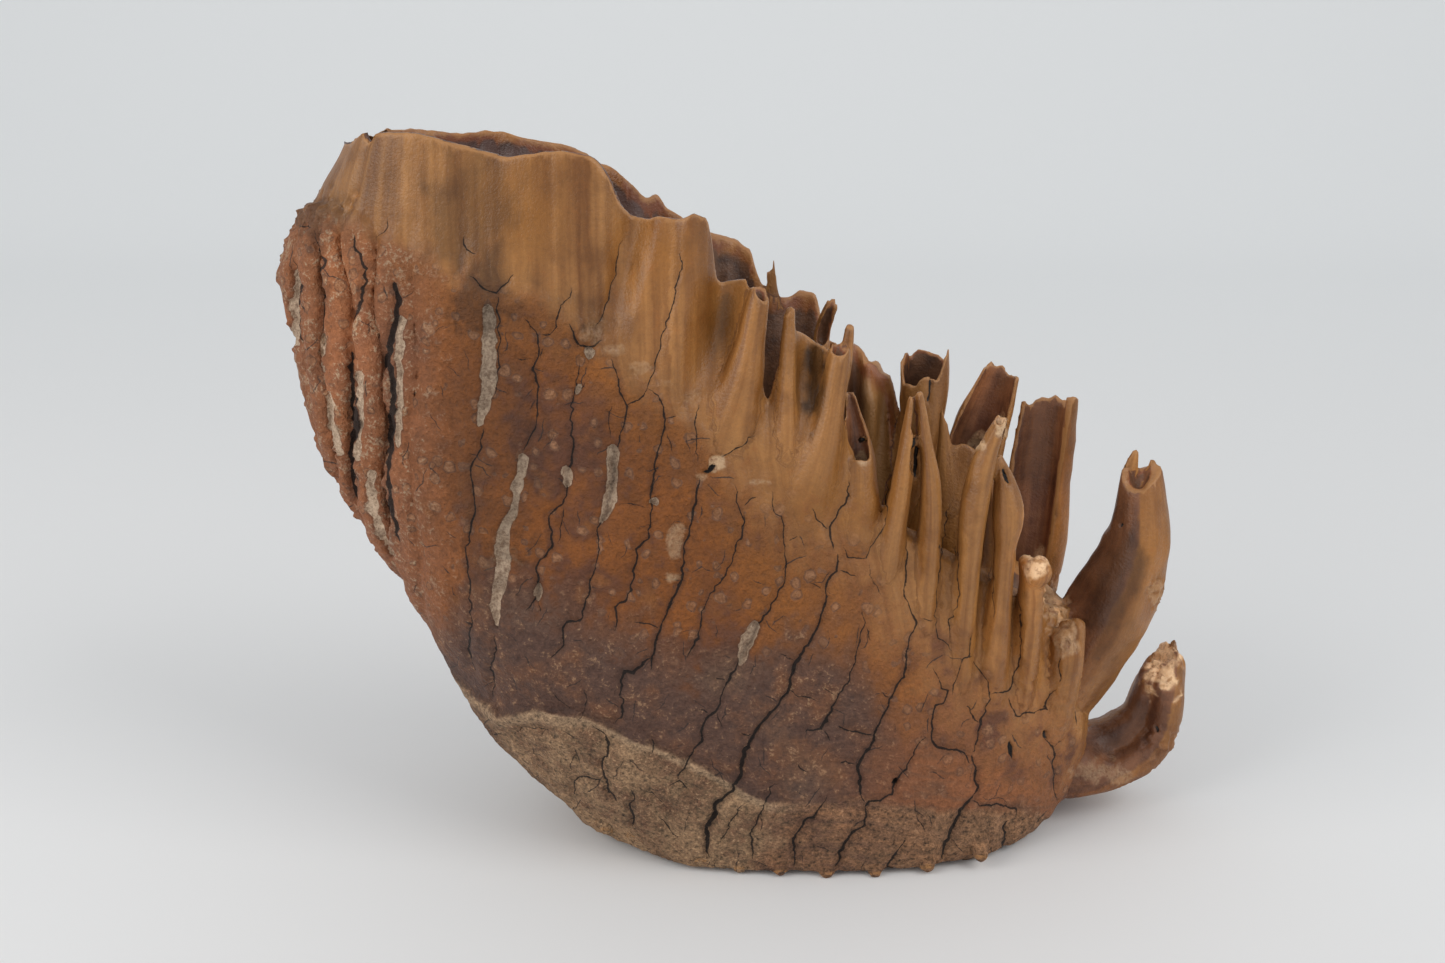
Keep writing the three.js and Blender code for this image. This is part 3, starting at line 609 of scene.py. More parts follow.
def add_root(root, number):
    """Outside up to a break whose height changes with the angle, then over it and down the bore, or over a
    small dome where the root is solid."""
    angle = np.linspace(0, 2 * math.pi, ROOT_COUNT, endpoint=False)
    length = np.linalg.norm(np.diff(np.array(root["path"], float), axis=0), axis=1).sum()
    off = np.abs((angle - math.radians(root.get("turn", 0)) + math.pi) % (2 * math.pi) - math.pi)
    ring = np.stack([np.cos(angle) * 7, np.sin(angle) * 7, 0 * angle + 31 * number], 1)
    teeth = 0.6 * cloud(ring, 1.6, 3) + 0.7 * cloud(ring, 3.7, 4)
    end = 1 - root.get("gone", 0) * soft_step(1.45, 0.75, off) + root.get("jag", 0.2) * (teeth - 0.4) / length
    f = np.linspace(0, 1, ROOT_ROWS)[:, None]
    u = f * end
    wide = np.broadcast_to(angle, u.shape)
    place = np.stack([6 * np.cos(wide), 6 * np.sin(wide), u * length / 2.5 + 50 * number], -1)
    swell = 1 + 0.05 * cloud(place, 4.5, 5) + 0.035 * cloud(place, 2.0, 6)
    rows = [root_surface(root, u, wide, 0 * u, swell)]
    kinds = [np.zeros(u.shape)]
    if root.get("bore"):
        g = np.linspace(1, 0, BORE_ROWS)[:, None]
        start = np.minimum(root["bore"], end - 0.02)
        u_in = mix(start, end, g)
        shrink = root["wall"] * (1 + 1.2 * (1 - g)) + 0 * u_in
        close = np.clip(g * 9, 0.02, 1) ** 0.5
        rows.append(root_surface(root, u_in, np.broadcast_to(angle, u_in.shape), shrink, swell[-1] * close))
        kinds.append(np.ones(u_in.shape))
        u = np.concatenate([u, u_in])
    else:
        g = np.linspace(0, 1, DOME_ROWS)[1:, None] * 0.98
        tip = smooth_read(root["along"], np.array([1.0]))[0] / length
        u_top = end + 0.7 * tip * np.sin(g * math.pi / 2) + 0 * end
        rows.append(root_surface(root, u_top, np.broadcast_to(angle, u_top.shape), 0 * u_top,
                                 swell[-1] * np.cos(g * math.pi / 2)))
        kinds.append(np.zeros(u_top.shape))
        u = np.concatenate([u, u_top])
    rows = np.concatenate(rows)
    labels = np.zeros(rows.shape)
    labels[..., 0] = np.concatenate(kinds) * (0.5 if root.get("shell") else 1)
    labels[..., 1] = bell((end - u) * length, 0.8)
    labels[..., 2] = 0.5 if root.get("far") else 1
    wide = np.broadcast_to(angle, u.shape)
    # painted shade: one flank takes the broken face's darker colour, for the shade it lies in
    if root.get("shaded_flank"):  # one flank is as dark as a broken face
        off = np.abs((wide - math.radians(root["shaded_flank"]) + math.pi) % (2 * math.pi) - math.pi)
        labels[..., 0] = np.maximum(labels[..., 0], 0.42 * soft_step(1.15, 0.95, off))
    grain = np.stack([6 * np.cos(wide) + (53 * number) % 260 - 130, 6 * np.sin(wide), u * length + 40], -1)
    skin.add(rows, labels, grain)


# %% [markdown]
# The worn plates stick out as a row of bumps under the crown's near edge. Their pixels are known, and their
# depth is found by trying: a depth gives an x, and the crown's half width there gives a better depth.

# %% The bumps, and all roots and splinters
NUBS = [(605, 829), (632, 834), (701, 859), (740, 868), (781, 872), (828, 874), (877, 874), (929, 867), (983, 857)]
nub_y = np.full(len(NUBS), -36.0)
for _ in range(4):
    nub_x, nub_z = from_photo(NUBS, nub_y).T
    nub_y = -line_read(LEVELS[0][:, [0, 2]], nub_x)
nub_z = np.maximum(nub_z, 1.0)
for x, y, z in zip(nub_x, nub_y, nub_z):
    SPLINTERS.append(dict(path=[[x, y + 6, z + 4.5], [x, y + 2.0, z + 2.4], [x, y - 0.7, z - 0.6]],
                          along=[2.8, 2.5, 1.5], across=[3, 2.6, 1.7]))
print("enamel nubs at x", nub_x.round(0), "y", nub_y.round(0), "z", nub_z.round(1))
for number, root in enumerate(ROOTS + SPLINTERS):
    add_root(root, number)
print("with", len(ROOTS), "roots and", len(SPLINTERS), "splinters:", skin.total, "places")

# %% [markdown]
# ## Growing the parts together
# The closed surfaces overlap. A voxel remesh keeps only the outside of all of them, as one skin. Where two
# parts met it leaves a sharp valley, which is softened: each point moves towards the middle of its
# neighbours, but only outwards, so valleys fill and edges stay.

# %% One skin from all parts
VOXEL = 0.72  # mm


def read_points(mesh):
    """The mesh's points as (n, 3), in mm."""
    points = np.empty(len(mesh.vertices) * 3, np.float32)
    mesh.vertices.foreach_get("co", points)
    return points.reshape(-1, 3).astype(float) / MM


def write_points(mesh, points):
    """Puts points (n, 3) in mm back into the mesh."""
    mesh.vertices.foreach_set("co", (points * MM).astype(np.float32).ravel())
    mesh.update()


def read_normals(mesh):
    """The mesh's point normals as (n, 3)."""
    normals = np.empty(len(mesh.vertices) * 3, np.float32)
    mesh.vertex_normals.foreach_get("vector", normals)
    return normals.reshape(-1, 3).astype(float)


tooth = bpy.data.objects.new("tooth_skin", skin.mesh("tooth_skin"))
bpy.context.scene.collection.objects.link(tooth)
tooth.data.remesh_voxel_size = VOXEL * MM
tooth.data.use_remesh_preserve_attributes = True
with bpy.context.temp_override(object=tooth, active_object=tooth, selected_objects=[tooth]):
    bpy.ops.object.voxel_remesh()
skin_mesh = tooth.data
print("joined skin:", len(skin_mesh.vertices), "points")

# %% [markdown]
# The softening works on all points at once: the mean of each point's neighbours is a sum over the edges,
# which bincount gives without a loop over the points.

# %% Softening the valleys between the parts
VALLEY_ROUNDS = 12
RISE_SHARE, FALL_SHARE = 0.85, 0.12  # how much of the way out, or in, a point goes in one round

edges = np.empty(len(skin_mesh.edges) * 2, np.int32)
skin_mesh.edges.foreach_get("vertices", edges)
edge_a, edge_b = edges.reshape(-1, 2).T
points = read_points(skin_mesh)
degree = np.bincount(edge_a, minlength=len(points)) + np.bincount(edge_b, minlength=len(points))


def neighbour_mean(values):
    """Mean of the values (n, 3) at each point's neighbours along the edges."""
    sums = [np.bincount(edge_a, values[edge_b, k], len(values)) + np.bincount(edge_b, values[edge_a, k], len(values))
            for k in range(3)]
    return np.stack(sums, 1) / degree[:, None]


def outward(points):
    """Unit normals of the skin with its points moved there."""
    write_points(skin_mesh, points)
    return read_normals(skin_mesh)


normals = outward(points)
for _ in range(VALLEY_ROUNDS):
    pull = neighbour_mean(points) - points
    rise = (pull * normals).sum(1)
    points = points + normals * np.where(rise > 0, RISE_SHARE * rise, FALL_SHARE * rise)[:, None]
normals = outward(points)
print("softened skin spans", points.min(0).round(1), "to", points.max(0).round(1))

# %% [markdown]
# ## Where each point lies in the photograph
# Cracks and stains are drawn in pixels. Points of the near side are projected with the camera. The far side
# isn't seen, so it borrows the near side's drawing, mirrored and shifted, so that it isn't a copy. The
# far roots and the hollows stand free in the picture and keep their own pixels.

# %% Every point's pixel
PIXELS_PER_MM = 3.55


def pixel_of(points, own):
    """Pixels of skin points in mm, with the far side folded over to the near side and shifted, save for
    points that keep their own place."""
    drawn = points - [SHIFT_X, 0, 0]
    away = soft_step(4, 30, drawn[:, 1]) * ~own
    drift = np.stack([9 + 7 * cloud(drawn, 38, 21), 6 * cloud(drawn, 33, 22)], 1) * away[:, None]
    depth = np.where(own, drawn[:, 1], -np.abs(drawn[:, 1]))
    folded_over = np.stack([drawn[:, 0] + drift[:, 0], depth, drawn[:, 2] + drift[:, 1]], 1)
    return to_photo(folded_over)


labels = read_field(skin_mesh, "labels")
grain = read_field(skin_mesh, "grain")
far_root = np.abs(labels[:, 2] - 0.5) < 0.3
pixels = pixel_of(points, far_root | (labels[:, 0] > 0.25))
wobble = np.stack([cloud(points, 5.5, 23) + 0.6 * cloud(points, 2.3, 24),
                   cloud(points, 5.5, 25) + 0.6 * cloud(points, 2.3, 26)], 1)
rough_pixels = pixels + 1.2 * wobble + 0.8 * np.stack([cloud(points, 1.3, 27), cloud(points, 1.3, 28)], 1)
outer = labels[:, 0] < 0.25
print("pixels span", pixels.min(0).round(), "to", pixels.max(0).round())

# %% [markdown]
# ## The cracks
# Dry cement splits into long plates. Cracks that were only painted would lie flat, so each is a line of
# pixels with a half width in mm at its start and at its end, and is carved as well as painted; its middle is
# painted near black as painted shade in the gap. Pits are short wide lines, painted dark as shade in the hole.

# %% Crack lines in pixels: half width in mm at both ends, then the line
CRACKS = [
    (0.12, 0.30, [(292, 257), (297, 285), (297, 310), (300, 341)]),
    (0.20, 0.24, [(312, 229), (316, 248), (323, 263), (319, 279), (323, 294), (322, 310), (319, 326), (320, 352)]),
    (0.30, 0.30, [(352, 235), (352, 247), (359, 263), (361, 279), (358, 298), (355, 310), (351, 322)]),
    (0.80, 0.70, [(348, 352), (348, 382), (350, 407), (352, 429), (348, 451), (350, 479), (356, 500)]),
    (0.75, 0.60, [(391, 282), (394, 298), (392, 322), (384, 357), (388, 385), (389, 410), (386, 441), (384, 466),
                  (384, 500), (396, 545)]),
    (0.14, 0.10, [(298, 228), (304, 226), (312, 229)]),
    (0.10, 0.12, [(384, 216), (383, 229), (372, 238)]),
    (0.24, 0.16, [(481, 430), (478, 443), (474, 458), (469, 468), (467, 481), (471, 493), (472, 505), (469, 522),
                  (466, 540), (464, 558), (464, 576), (469, 599), (467, 643), (469, 658), (473, 675)]),
    (0.22, 0.16, [(491, 636), (493, 658), (488, 669), (491, 687), (492, 702)]),
    (0.16, 0.18, [(466, 276), (481, 290), (491, 294), (506, 283), (512, 275)]),
    (0.16, 0.14, [(496, 296), (495, 310), (497, 340), (495, 372), (490, 400)]),
    (0.14, 0.12, [(461, 235), (463, 254), (475, 255)]),
    (0.14, 0.22, [(519, 314), (528, 328), (536, 336), (537, 346), (537, 358), (533, 364), (530, 372), (534, 378),
                  (536, 393), (535, 408), (535, 422), (531, 434), (525, 443), (521, 452)]),
    (0.12, 0.12, [(536, 336), (550, 336), (554, 330), (555, 319), (559, 308), (568, 296), (570, 286)]),
    (0.12, 0.10, [(541, 350), (537, 360)]),
    (0.10, 0.10, [(511, 359), (520, 363), (530, 361)]),
    (0.24, 0.22, [(568, 325), (572, 337), (578, 350), (590, 347), (601, 341)]),
    (0.18, 0.26, [(578, 362), (574, 378), (572, 390), (571, 408), (568, 420), (570, 434), (571, 449), (570, 467),
                  (566, 478), (565, 492), (563, 505), (556, 510), (549, 516), (546, 522), (549, 534), (550, 549),
                  (544, 560), (534, 564), (535, 578), (535, 600), (531, 603), (524, 612)]),
    (0.10, 0.12, [(584, 378), (575, 397)]),
    (0.13, 0.13, [(563, 508), (559, 531), (556, 545)]),
    (0.13, 0.10, [(536, 602), (539, 614)]),
    (0.13, 0.17, [(622, 236), (616, 262), (608, 290), (604, 308), (597, 322), (593, 328)]),
    (0.16, 0.30, [(608, 358), (613, 366), (618, 378), (619, 393), (624, 403), (626, 408), (625, 422), (621, 437),
                  (614, 452), (612, 480), (606, 510), (599, 527), (596, 534), (597, 549), (598, 555), (591, 575),
                  (586, 596), (580, 611), (579, 624), (565, 626), (561, 631), (563, 643), (559, 650), (549, 661)]),
    (0.16, 0.14, [(646, 390), (637, 402), (630, 403), (626, 408)]),
    (0.09, 0.09, [(612, 399), (608, 422), (608, 446)]),
    (0.10, 0.20, [(681, 250), (679, 270), (675, 292), (665, 328), (657, 355), (648, 382), (645, 392)]),
    (0.16, 0.24, [(645, 391), (652, 391), (661, 402), (664, 419), (665, 434), (659, 443), (656, 455), (654, 470),
                  (652, 490), (650, 508), (647, 537), (637, 552), (633, 569), (630, 590), (627, 603), (615, 608),
                  (616, 625), (614, 634)]),
    (0.11, 0.09, [(664, 421), (677, 418)]),
    (0.13, 0.10, [(666, 434), (672, 455)]),
    (0.09, 0.09, [(616, 506), (650, 508)]),
    (0.09, 0.20, [(699, 402), (696, 416), (694, 434), (697, 449), (698, 467)]),
    (0.34, 0.34, [(700, 480), (696, 496), (694, 511), (690, 525), (686, 543), (683, 558), (682, 572), (675, 593),
                  (667, 617), (659, 630), (655, 643), (652, 658), (651, 672)]),
    (0.14, 0.16, [(718, 465), (722, 461), (734, 453), (749, 443), (758, 434)]),
    (0.12, 0.22, [(734, 483), (738, 493), (738, 505), (743, 519), (744, 537), (735, 553), (724, 581), (712, 593),
                  (702, 617), (699, 637), (686, 662)]),
    (0.12, 0.10, [(758, 499), (749, 502), (743, 509)]),
    (0.10, 0.08, [(677, 530), (690, 531)]),
    (0.18, 0.13, [(657, 630), (646, 625), (631, 624)]),
    (0.34, 0.28, [(652, 660), (643, 667), (633, 675), (622, 675), (619, 687), (621, 705), (622, 719), (613, 725)]),
    (0.12, 0.34, [(771, 489), (774, 500), (775, 515), (783, 518), (785, 539), (786, 559), (786, 577), (778, 598),
                  (764, 620), (749, 645), (738, 670), (731, 678), (722, 699), (718, 712), (709, 719), (703, 731),
                  (702, 743), (692, 752), (686, 760), (683, 772), (678, 781)]),
    (0.14, 0.10, [(789, 543), (799, 537)]),
    (0.11, 0.12, [(711, 680), (727, 682)]),
    (0.14, 0.10, [(718, 713), (721, 725), (724, 731)]),
    (0.12, 0.13, [(696, 713), (709, 714)]),
    (0.16, 0.13, [(668, 787), (678, 781), (682, 785), (690, 793)]),
    (0.16, 0.30, [(850, 480), (849, 498), (838, 515), (831, 533), (833, 554)]),
    (0.30, 0.56, [(838, 555), (840, 565), (837, 574), (827, 581), (826, 595), (825, 609), (819, 627), (806, 651),
                  (796, 671), (790, 692), (772, 715), (758, 733), (750, 746), (743, 761), (740, 778), (730, 796),
                  (716, 806), (714, 821), (704, 830), (707, 848), (709, 858)]),
    (0.13, 0.13, [(813, 509), (819, 524), (830, 532)]),
    (0.13, 0.14, [(809, 584), (822, 590)]),
    (0.16, 0.12, [(840, 573), (849, 576), (858, 578)]),
    (0.10, 0.13, [(778, 656), (787, 661), (796, 664)]),
    (0.24, 0.13, [(789, 693), (804, 699), (818, 704)]),
    (0.12, 0.12, [(740, 735), (746, 739), (752, 737)]),
    (0.12, 0.26, [(862, 608), (868, 624), (863, 633), (859, 657), (857, 665), (849, 683), (838, 701), (828, 724),
                  (822, 731), (806, 734)]),
    (0.12, 0.09, [(868, 630), (872, 645)]),
    (0.14, 0.09, [(824, 733), (831, 743)]),
    (0.09, 0.11, [(822, 689), (838, 699)]),
    (0.12, 0.12, [(888, 480), (886, 498), (886, 524), (878, 542), (871, 554), (869, 560), (852, 561), (841, 546)]),
    (0.11, 0.09, [(871, 562), (872, 577), (880, 592), (886, 604)]),
    (0.12, 0.36, [(909, 538), (908, 565), (909, 580), (906, 595), (911, 607), (917, 621), (918, 633), (908, 645),
                  (909, 662), (906, 680), (893, 701), (886, 715), (874, 736), (873, 748), (859, 769), (860, 789),
                  (866, 804)]),
    (0.10, 0.12, [(882, 695), (892, 702)]),
    (0.12, 0.20, [(838, 727), (851, 734), (872, 737)]),
    (0.11, 0.13, [(841, 765), (857, 767)]),
    (0.10, 0.10, [(952, 495), (946, 530), (943, 565), (940, 604), (938, 627), (941, 642), (952, 648), (958, 659)]),
    (0.10, 0.10, [(959, 539), (959, 568), (959, 604), (952, 624), (952, 645)]),
    (0.09, 0.11, [(921, 621), (937, 624)]),
    (0.12, 0.12, [(975, 633), (975, 661), (962, 667), (958, 683), (953, 701)]),
    (0.14, 0.22, [(976, 662), (983, 674), (991, 686), (992, 698), (988, 715), (983, 724), (981, 743), (974, 757)]),
    (0.14, 0.14, [(969, 708), (982, 724)]),
    (0.20, 0.12, [(992, 698), (1005, 694), (1013, 696), (1017, 683), (1021, 657), (1021, 598)]),
    (0.12, 0.14, [(1014, 698), (1017, 721), (1030, 715), (1049, 712), (1052, 698), (1061, 690)]),
    (0.12, 0.30, [(933, 668), (943, 683), (949, 697), (943, 707), (936, 712), (933, 739), (935, 745), (941, 752),
                  (958, 753), (968, 755), (972, 766)]),
    (0.08, 0.10, [(994, 554), (994, 598), (996, 627)]),
    (0.10, 0.12, [(1062, 657), (1062, 686)]),
    (0.36, 0.50, [(974, 757), (978, 772), (978, 793), (974, 802), (962, 813), (956, 831), (947, 849), (944, 861)]),
    (0.22, 0.20, [(975, 803), (987, 808), (1003, 808), (1019, 811), (1020, 821)]),
    (0.20, 0.26, [(1011, 821), (1006, 828), (1009, 837), (1004, 849)]),
    (0.16, 0.42, [(928, 737), (916, 752), (911, 772), (896, 786), (893, 799), (868, 806), (867, 829), (854, 836),
                  (842, 851), (836, 871)]),
    (0.14, 0.10, [(916, 818), (921, 828), (927, 834)]),
    (0.14, 0.26, [(906, 840), (903, 850), (896, 860), (888, 873)]),
    (0.24, 0.16, [(1049, 737), (1055, 749), (1056, 775), (1056, 793), (1058, 804)]),
    (0.12, 0.09, [(1055, 749), (1065, 741)]),
    (0.22, 0.18, [(1088, 768), (1087, 790)]),
    (0.20, 0.12, [(1078, 709), (1079, 727)]),
    (0.12, 0.14, [(584, 688), (586, 708), (575, 722)]),
    (0.12, 0.10, [(549, 693), (560, 704), (571, 712)]),
    (0.14, 0.34, [(587, 722), (599, 731), (608, 743), (609, 755), (603, 761), (602, 775), (605, 784), (611, 796),
                  (617, 803)]),
    (0.14, 0.12, [(574, 747), (577, 755), (579, 765)]),
    (0.16, 0.16, [(572, 799), (572, 784), (577, 777), (590, 780), (602, 781)]),
    (0.10, 0.12, [(512, 733), (522, 728), (546, 730)]),
    (0.10, 0.12, [(634, 786), (651, 795), (658, 799), (664, 806), (671, 816)]),
    (0.10, 0.10, [(650, 740), (653, 747), (649, 756)]),
    (0.14, 0.44, [(630, 789), (635, 800), (628, 804), (632, 815), (631, 827)]),
    (0.11, 0.10, [(657, 815), (666, 827), (678, 843)]),
    (0.12, 0.13, [(745, 811), (731, 824), (720, 845)]),
    (0.14, 0.30, [(776, 783), (770, 792), (766, 807), (760, 818), (758, 827), (750, 834), (754, 848), (752, 862)]),
    (0.20, 0.38, [(826, 796), (822, 809), (813, 820), (803, 824), (795, 842), (795, 871)]),
    (0.12, 0.10, [(798, 765), (803, 770), (811, 774)]),
]
# the pits are painted dark, as painted shade in the holes
PITS = [  # short wide dark holes
    (1.1, 1.1, [(864, 437), (864, 444)]), (0.8, 0.8, [(1012, 741), (1014, 760)]),
    (1.3, 1.3, [(1040, 828), (1047, 824)]), (0.7, 0.7, [(1048, 733), (1050, 741)]),
    (1.0, 1.0, [(892, 788), (900, 783)]), (0.7, 0.7, [(1004, 470), (1013, 487)]),
    (0.5, 1.1, [(702, 476), (709, 473), (716, 467)]), (0.6, 0.6, [(1160, 724), (1161, 732)]),
    (0.9, 0.9, [(918, 430), (916, 478)]), (0.5, 0.5, [(933, 374), (930, 406)]),
    (0.6, 0.6, [(1124, 527), (1126, 521)]),
]
print("drawn:", len(CRACKS), "cracks and", len(PITS), "pits")

# %% [markdown]
# Chance with a fixed seed adds what is too fine to draw: small sideways steps along each crack, and fine
# cracks, which are crooked walks that start anywhere below the smooth wall. For every point the nearest
# line's distance will be kept with a sign for its side. Where two lines meet, the signs would clash and draw
# false lines, so the lines are dealt out to groups with clear space between them.

# %% Crooked lines, dealt out to groups
JAG_STEP = 5.0  # pixels
CLEAR = 25.0  # pixels between the lines of one group
HAIR_GROUPS = 2  # groups of fine cracks
HAIR_TRIES = 1100
HAIR_SPAN = (290, 220), (1100, 870)  # pixels
HAIR_LEAN = [(300, 1.65), (600, 1.75), (800, 2.05), (1100, 1.6)]  # pixel x, and heading in radians
HAIR_TOP = [(280, 240), (460, 290), (700, 430), (1000, 700), (1100, 760)]  # none above this line

luck = np.random.default_rng(11)


def jagged(line, sideways):
    """The line cut into pieces of about one step, with each new place moved by a random amount."""
    line = np.array(line, float)
    run = np.concatenate([[0], np.cumsum(np.linalg.norm(np.diff(line, axis=0), axis=1))])
    places = np.linspace(0, run[-1], max(int(run[-1] / JAG_STEP), 2) + 1)
    cut = np.stack([np.interp(places, run, line[:, 0]), np.interp(places, run, line[:, 1])], 1)
    cut[1:-1] += luck.normal(0, sideways, cut[1:-1].shape)
    return cut


def walk(start, heading, steps, sway):
    """A crooked line of pixels: each piece turns a little from the heading."""
    turns = heading + luck.normal(0, sway, steps) + 0.4 * np.cumsum(luck.normal(0, sway, steps))
    pieces = np.stack([np.cos(turns), np.sin(turns)], 1) * luck.uniform(3, 7, (steps, 1))
    return np.concatenate([[start], start + np.cumsum(pieces, 0)])


def fits(line, others):
    """Whether a line stays clear of all others."""
    return all(np.linalg.norm(line[:, None] - other, axis=-1).min() > CLEAR for _, _, other in others)


def deal(cracks):
    """Deals cracks out to as few groups as their clear space allows."""
    groups = []
    for crack in cracks:
        home = next((group for group in groups if fits(crack[2], group)), None)
        if home is None:
            groups.append([crack])
        else:
            home.append(crack)
    return groups


cracks = [(first, last, jagged(line, 0.9)) for first, last, line in CRACKS]
groups = deal(sorted(cracks, key=lambda crack: -max(crack[:2])))
hairs = [[] for _ in range(HAIR_GROUPS)]
for _ in range(HAIR_TRIES):
    start = luck.uniform(*HAIR_SPAN)
    lean = line_read(HAIR_LEAN, start[0])
    line = walk(start, lean + luck.normal(0, 0.8), luck.integers(3, 7), 0.32)
    home = next((group for group in hairs if fits(line, group)), None)
    if home is not None and line_read(HAIR_TOP, start[0]) < start[1]:
        wide = luck.uniform(0.08, 0.15)
        home.append((wide, wide, line))
print("cracks:", len(cracks), "in", len(groups), "groups, fine lines:", [len(group) for group in hairs])

# %% [markdown]
# Now each point learns its signed distance to the nearest line of a group, and that line's width there. Between
# two points left and right of a line the distance passes through nought, so the line stays sharp.

# %% Distances to the lines
REACH = 6.0  # mm, no distance is kept beyond it


def line_fields(pixels, lines, where, taper, keep):
    """Signed distance to the nearest line in mm, and that line's half width there. The nearest place on
    each straight piece is start + f * step with f cut off at nought and one. The sign is that of the cross
    product with the piece, or with the sum of both pieces' directions at a corner. The width falls to
    nought over the taper at both ends of a line, and beyond the kept distance away from it."""
    signed = np.full(len(pixels), 3 * REACH)
    half = np.zeros(len(pixels))
    for first, last, line in lines:
        line = np.array(line, float)
        margin = REACH * PIXELS_PER_MM
        near = np.flatnonzero(where & ((pixels > line.min(0) - margin) & (pixels < line.max(0) + margin)).all(1))
        step = np.diff(line, axis=0)
        length = np.hypot(step[:, 0], step[:, 1])
        off = pixels[near, None] - line[:-1]
        f = np.clip((off * step).sum(-1) / length**2, 0, 1)
        aside = off - f[..., None] * step
        gap = np.linalg.norm(aside, axis=-1)
        best = gap.argmin(1)
        row = np.arange(len(near))
        ahead = step / length[:, None]
        corner = np.concatenate([ahead[:1], ahead[:-1] + ahead[1:], ahead[-1:]])
        share, aside = f[row, best], aside[row, best]
        heading = np.where(share[:, None] <= 0, corner[best], corner[best + 1])
        heading = np.where(((share > 0) & (share < 1))[:, None], ahead[best], heading)
        cross = heading[:, 0] * aside[:, 1] - heading[:, 1] * aside[:, 0]
        distance = gap[row, best] / PIXELS_PER_MM
        total = length.sum() / PIXELS_PER_MM
        run = ((np.cumsum(length) - length)[best] + share * length[best]) / PIXELS_PER_MM
        ends = np.sqrt(np.clip(np.minimum(run, total - run) / min(taper, total / 3), 0, 1))
        wide = mix(first, last, run / total) * ends * soft_step(keep + 1.1, keep, distance)
        closer = (distance < np.abs(signed[near])) & (distance < REACH)
        signed[near[closer]] = (np.where(cross < 0, -1, 1) * distance)[closer]
        half[near[closer]] = wide[closer]
    return signed, half


fields = [line_fields(rough_pixels, group, outer, 6, 1.3) for group in groups]
uneven = 1 + 0.35 * cloud(points, 7, 31) + 0.25 * cloud(points, 2.6, 32)
fields = [(gap, half * uneven * mix(1.25, 1, soft_step(0.12, 0.3, half))) for gap, half in fields]
hair_fields = [line_fields(rough_pixels, group, outer, 6, 1.3) for group in hairs]
pit_gap, pit_half = line_fields(rough_pixels, PITS, labels[:, 0] < 0.6, 2, 2.4)
pit = pit_half - np.abs(pit_gap)
nearest = np.min([np.abs(gap) for gap, _ in fields], 0)
print("points in a crack:", int(sum((np.abs(gap) < half).sum() for gap, half in fields)))

# %% [markdown]
# ## The zones
# From the top down the surface changes: smooth root wall, a crusty and warmer crown, a dark band and, below
# the old gum line, a pale rough base. Three lines in pixels part them. Where the crust has come off, pale
# filling shows in slots. Patches are soft ovals that are crusty, pale, lighter or darker than their zone; the
# lighter and darker ones are partly the tooth's own tone and partly painted highlights on lit crests and faces
# and painted shade in recesses.

# %% Zone lines and pale slots in pixels
CRUST_TOP = [(280, 205), (330, 212), (400, 240), (460, 272), (530, 290), (575, 318), (600, 345), (625, 378),
             (660, 394), (700, 425), (730, 470), (790, 505), (850, 545), (900, 600), (960, 655), (1010, 690),
             (1060, 705), (1100, 735), (1200, 760)]
BAND_TOP = [(280, 700), (440, 640), (470, 598), (520, 592), (560, 604), (600, 628), (640, 640), (690, 668),
            (720, 665), (745, 655), (775, 640), (800, 640), (840, 650), (870, 680), (890, 715), (930, 745),
            (985, 768), (1060, 812), (1200, 860)]
BASE_TOP = [(280, 640), (440, 655), (470, 690), (500, 714), (540, 709), (590, 718), (640, 741), (700, 765),
            (740, 787), (770, 802), (850, 800), (900, 806), (960, 812), (1020, 812), (1060, 812), (1200, 830)]
SLOTS = [  # half width in mm at both ends, then the line
    (1.7, 2.3, [(485, 306), (486, 345), (485, 385)]), (2.3, 1.1, [(486, 375), (482, 402), (477, 426)]),
    (1.6, 1.0, [(521, 455), (517, 478), (514, 500), (511, 522)]),
    (0.6, 2.3, [(512, 508), (504, 528), (498, 550)]), (2.3, 1.0, [(499, 540), (500, 566), (495, 596), (494, 628)]),
    (0.9, 1.1, [(535, 586), (536, 602)]), (1.5, 1.6, [(568, 467), (565, 488)]),
    (1.9, 2.0, [(612, 446), (611, 475), (610, 505)]), (2.0, 0.7, [(611, 495), (606, 512), (600, 528)]),
    (1.7, 1.2, [(588, 349), (585, 361)]), (1.2, 0.8, [(577, 385), (574, 396)]),
    (1.3, 1.3, [(653, 500), (655, 505)]),
    (1.3, 2.1, [(757, 623), (749, 642)]), (2.1, 0.8, [(750, 636), (743, 652), (739, 670)]),
    (0.9, 0.8, [(294, 268), (293, 300), (296, 345)]), (0.9, 0.8, [(319, 334), (321, 352), (324, 372)]),
    (1.1, 0.9, [(326, 392), (332, 425), (338, 455)]), (1.3, 0.9, [(357, 372), (358, 420), (356, 465)]),
    (1.3, 0.9, [(397, 318), (397, 380), (394, 450)]), (1.1, 0.9, [(366, 470), (374, 520), (392, 556)]),
]
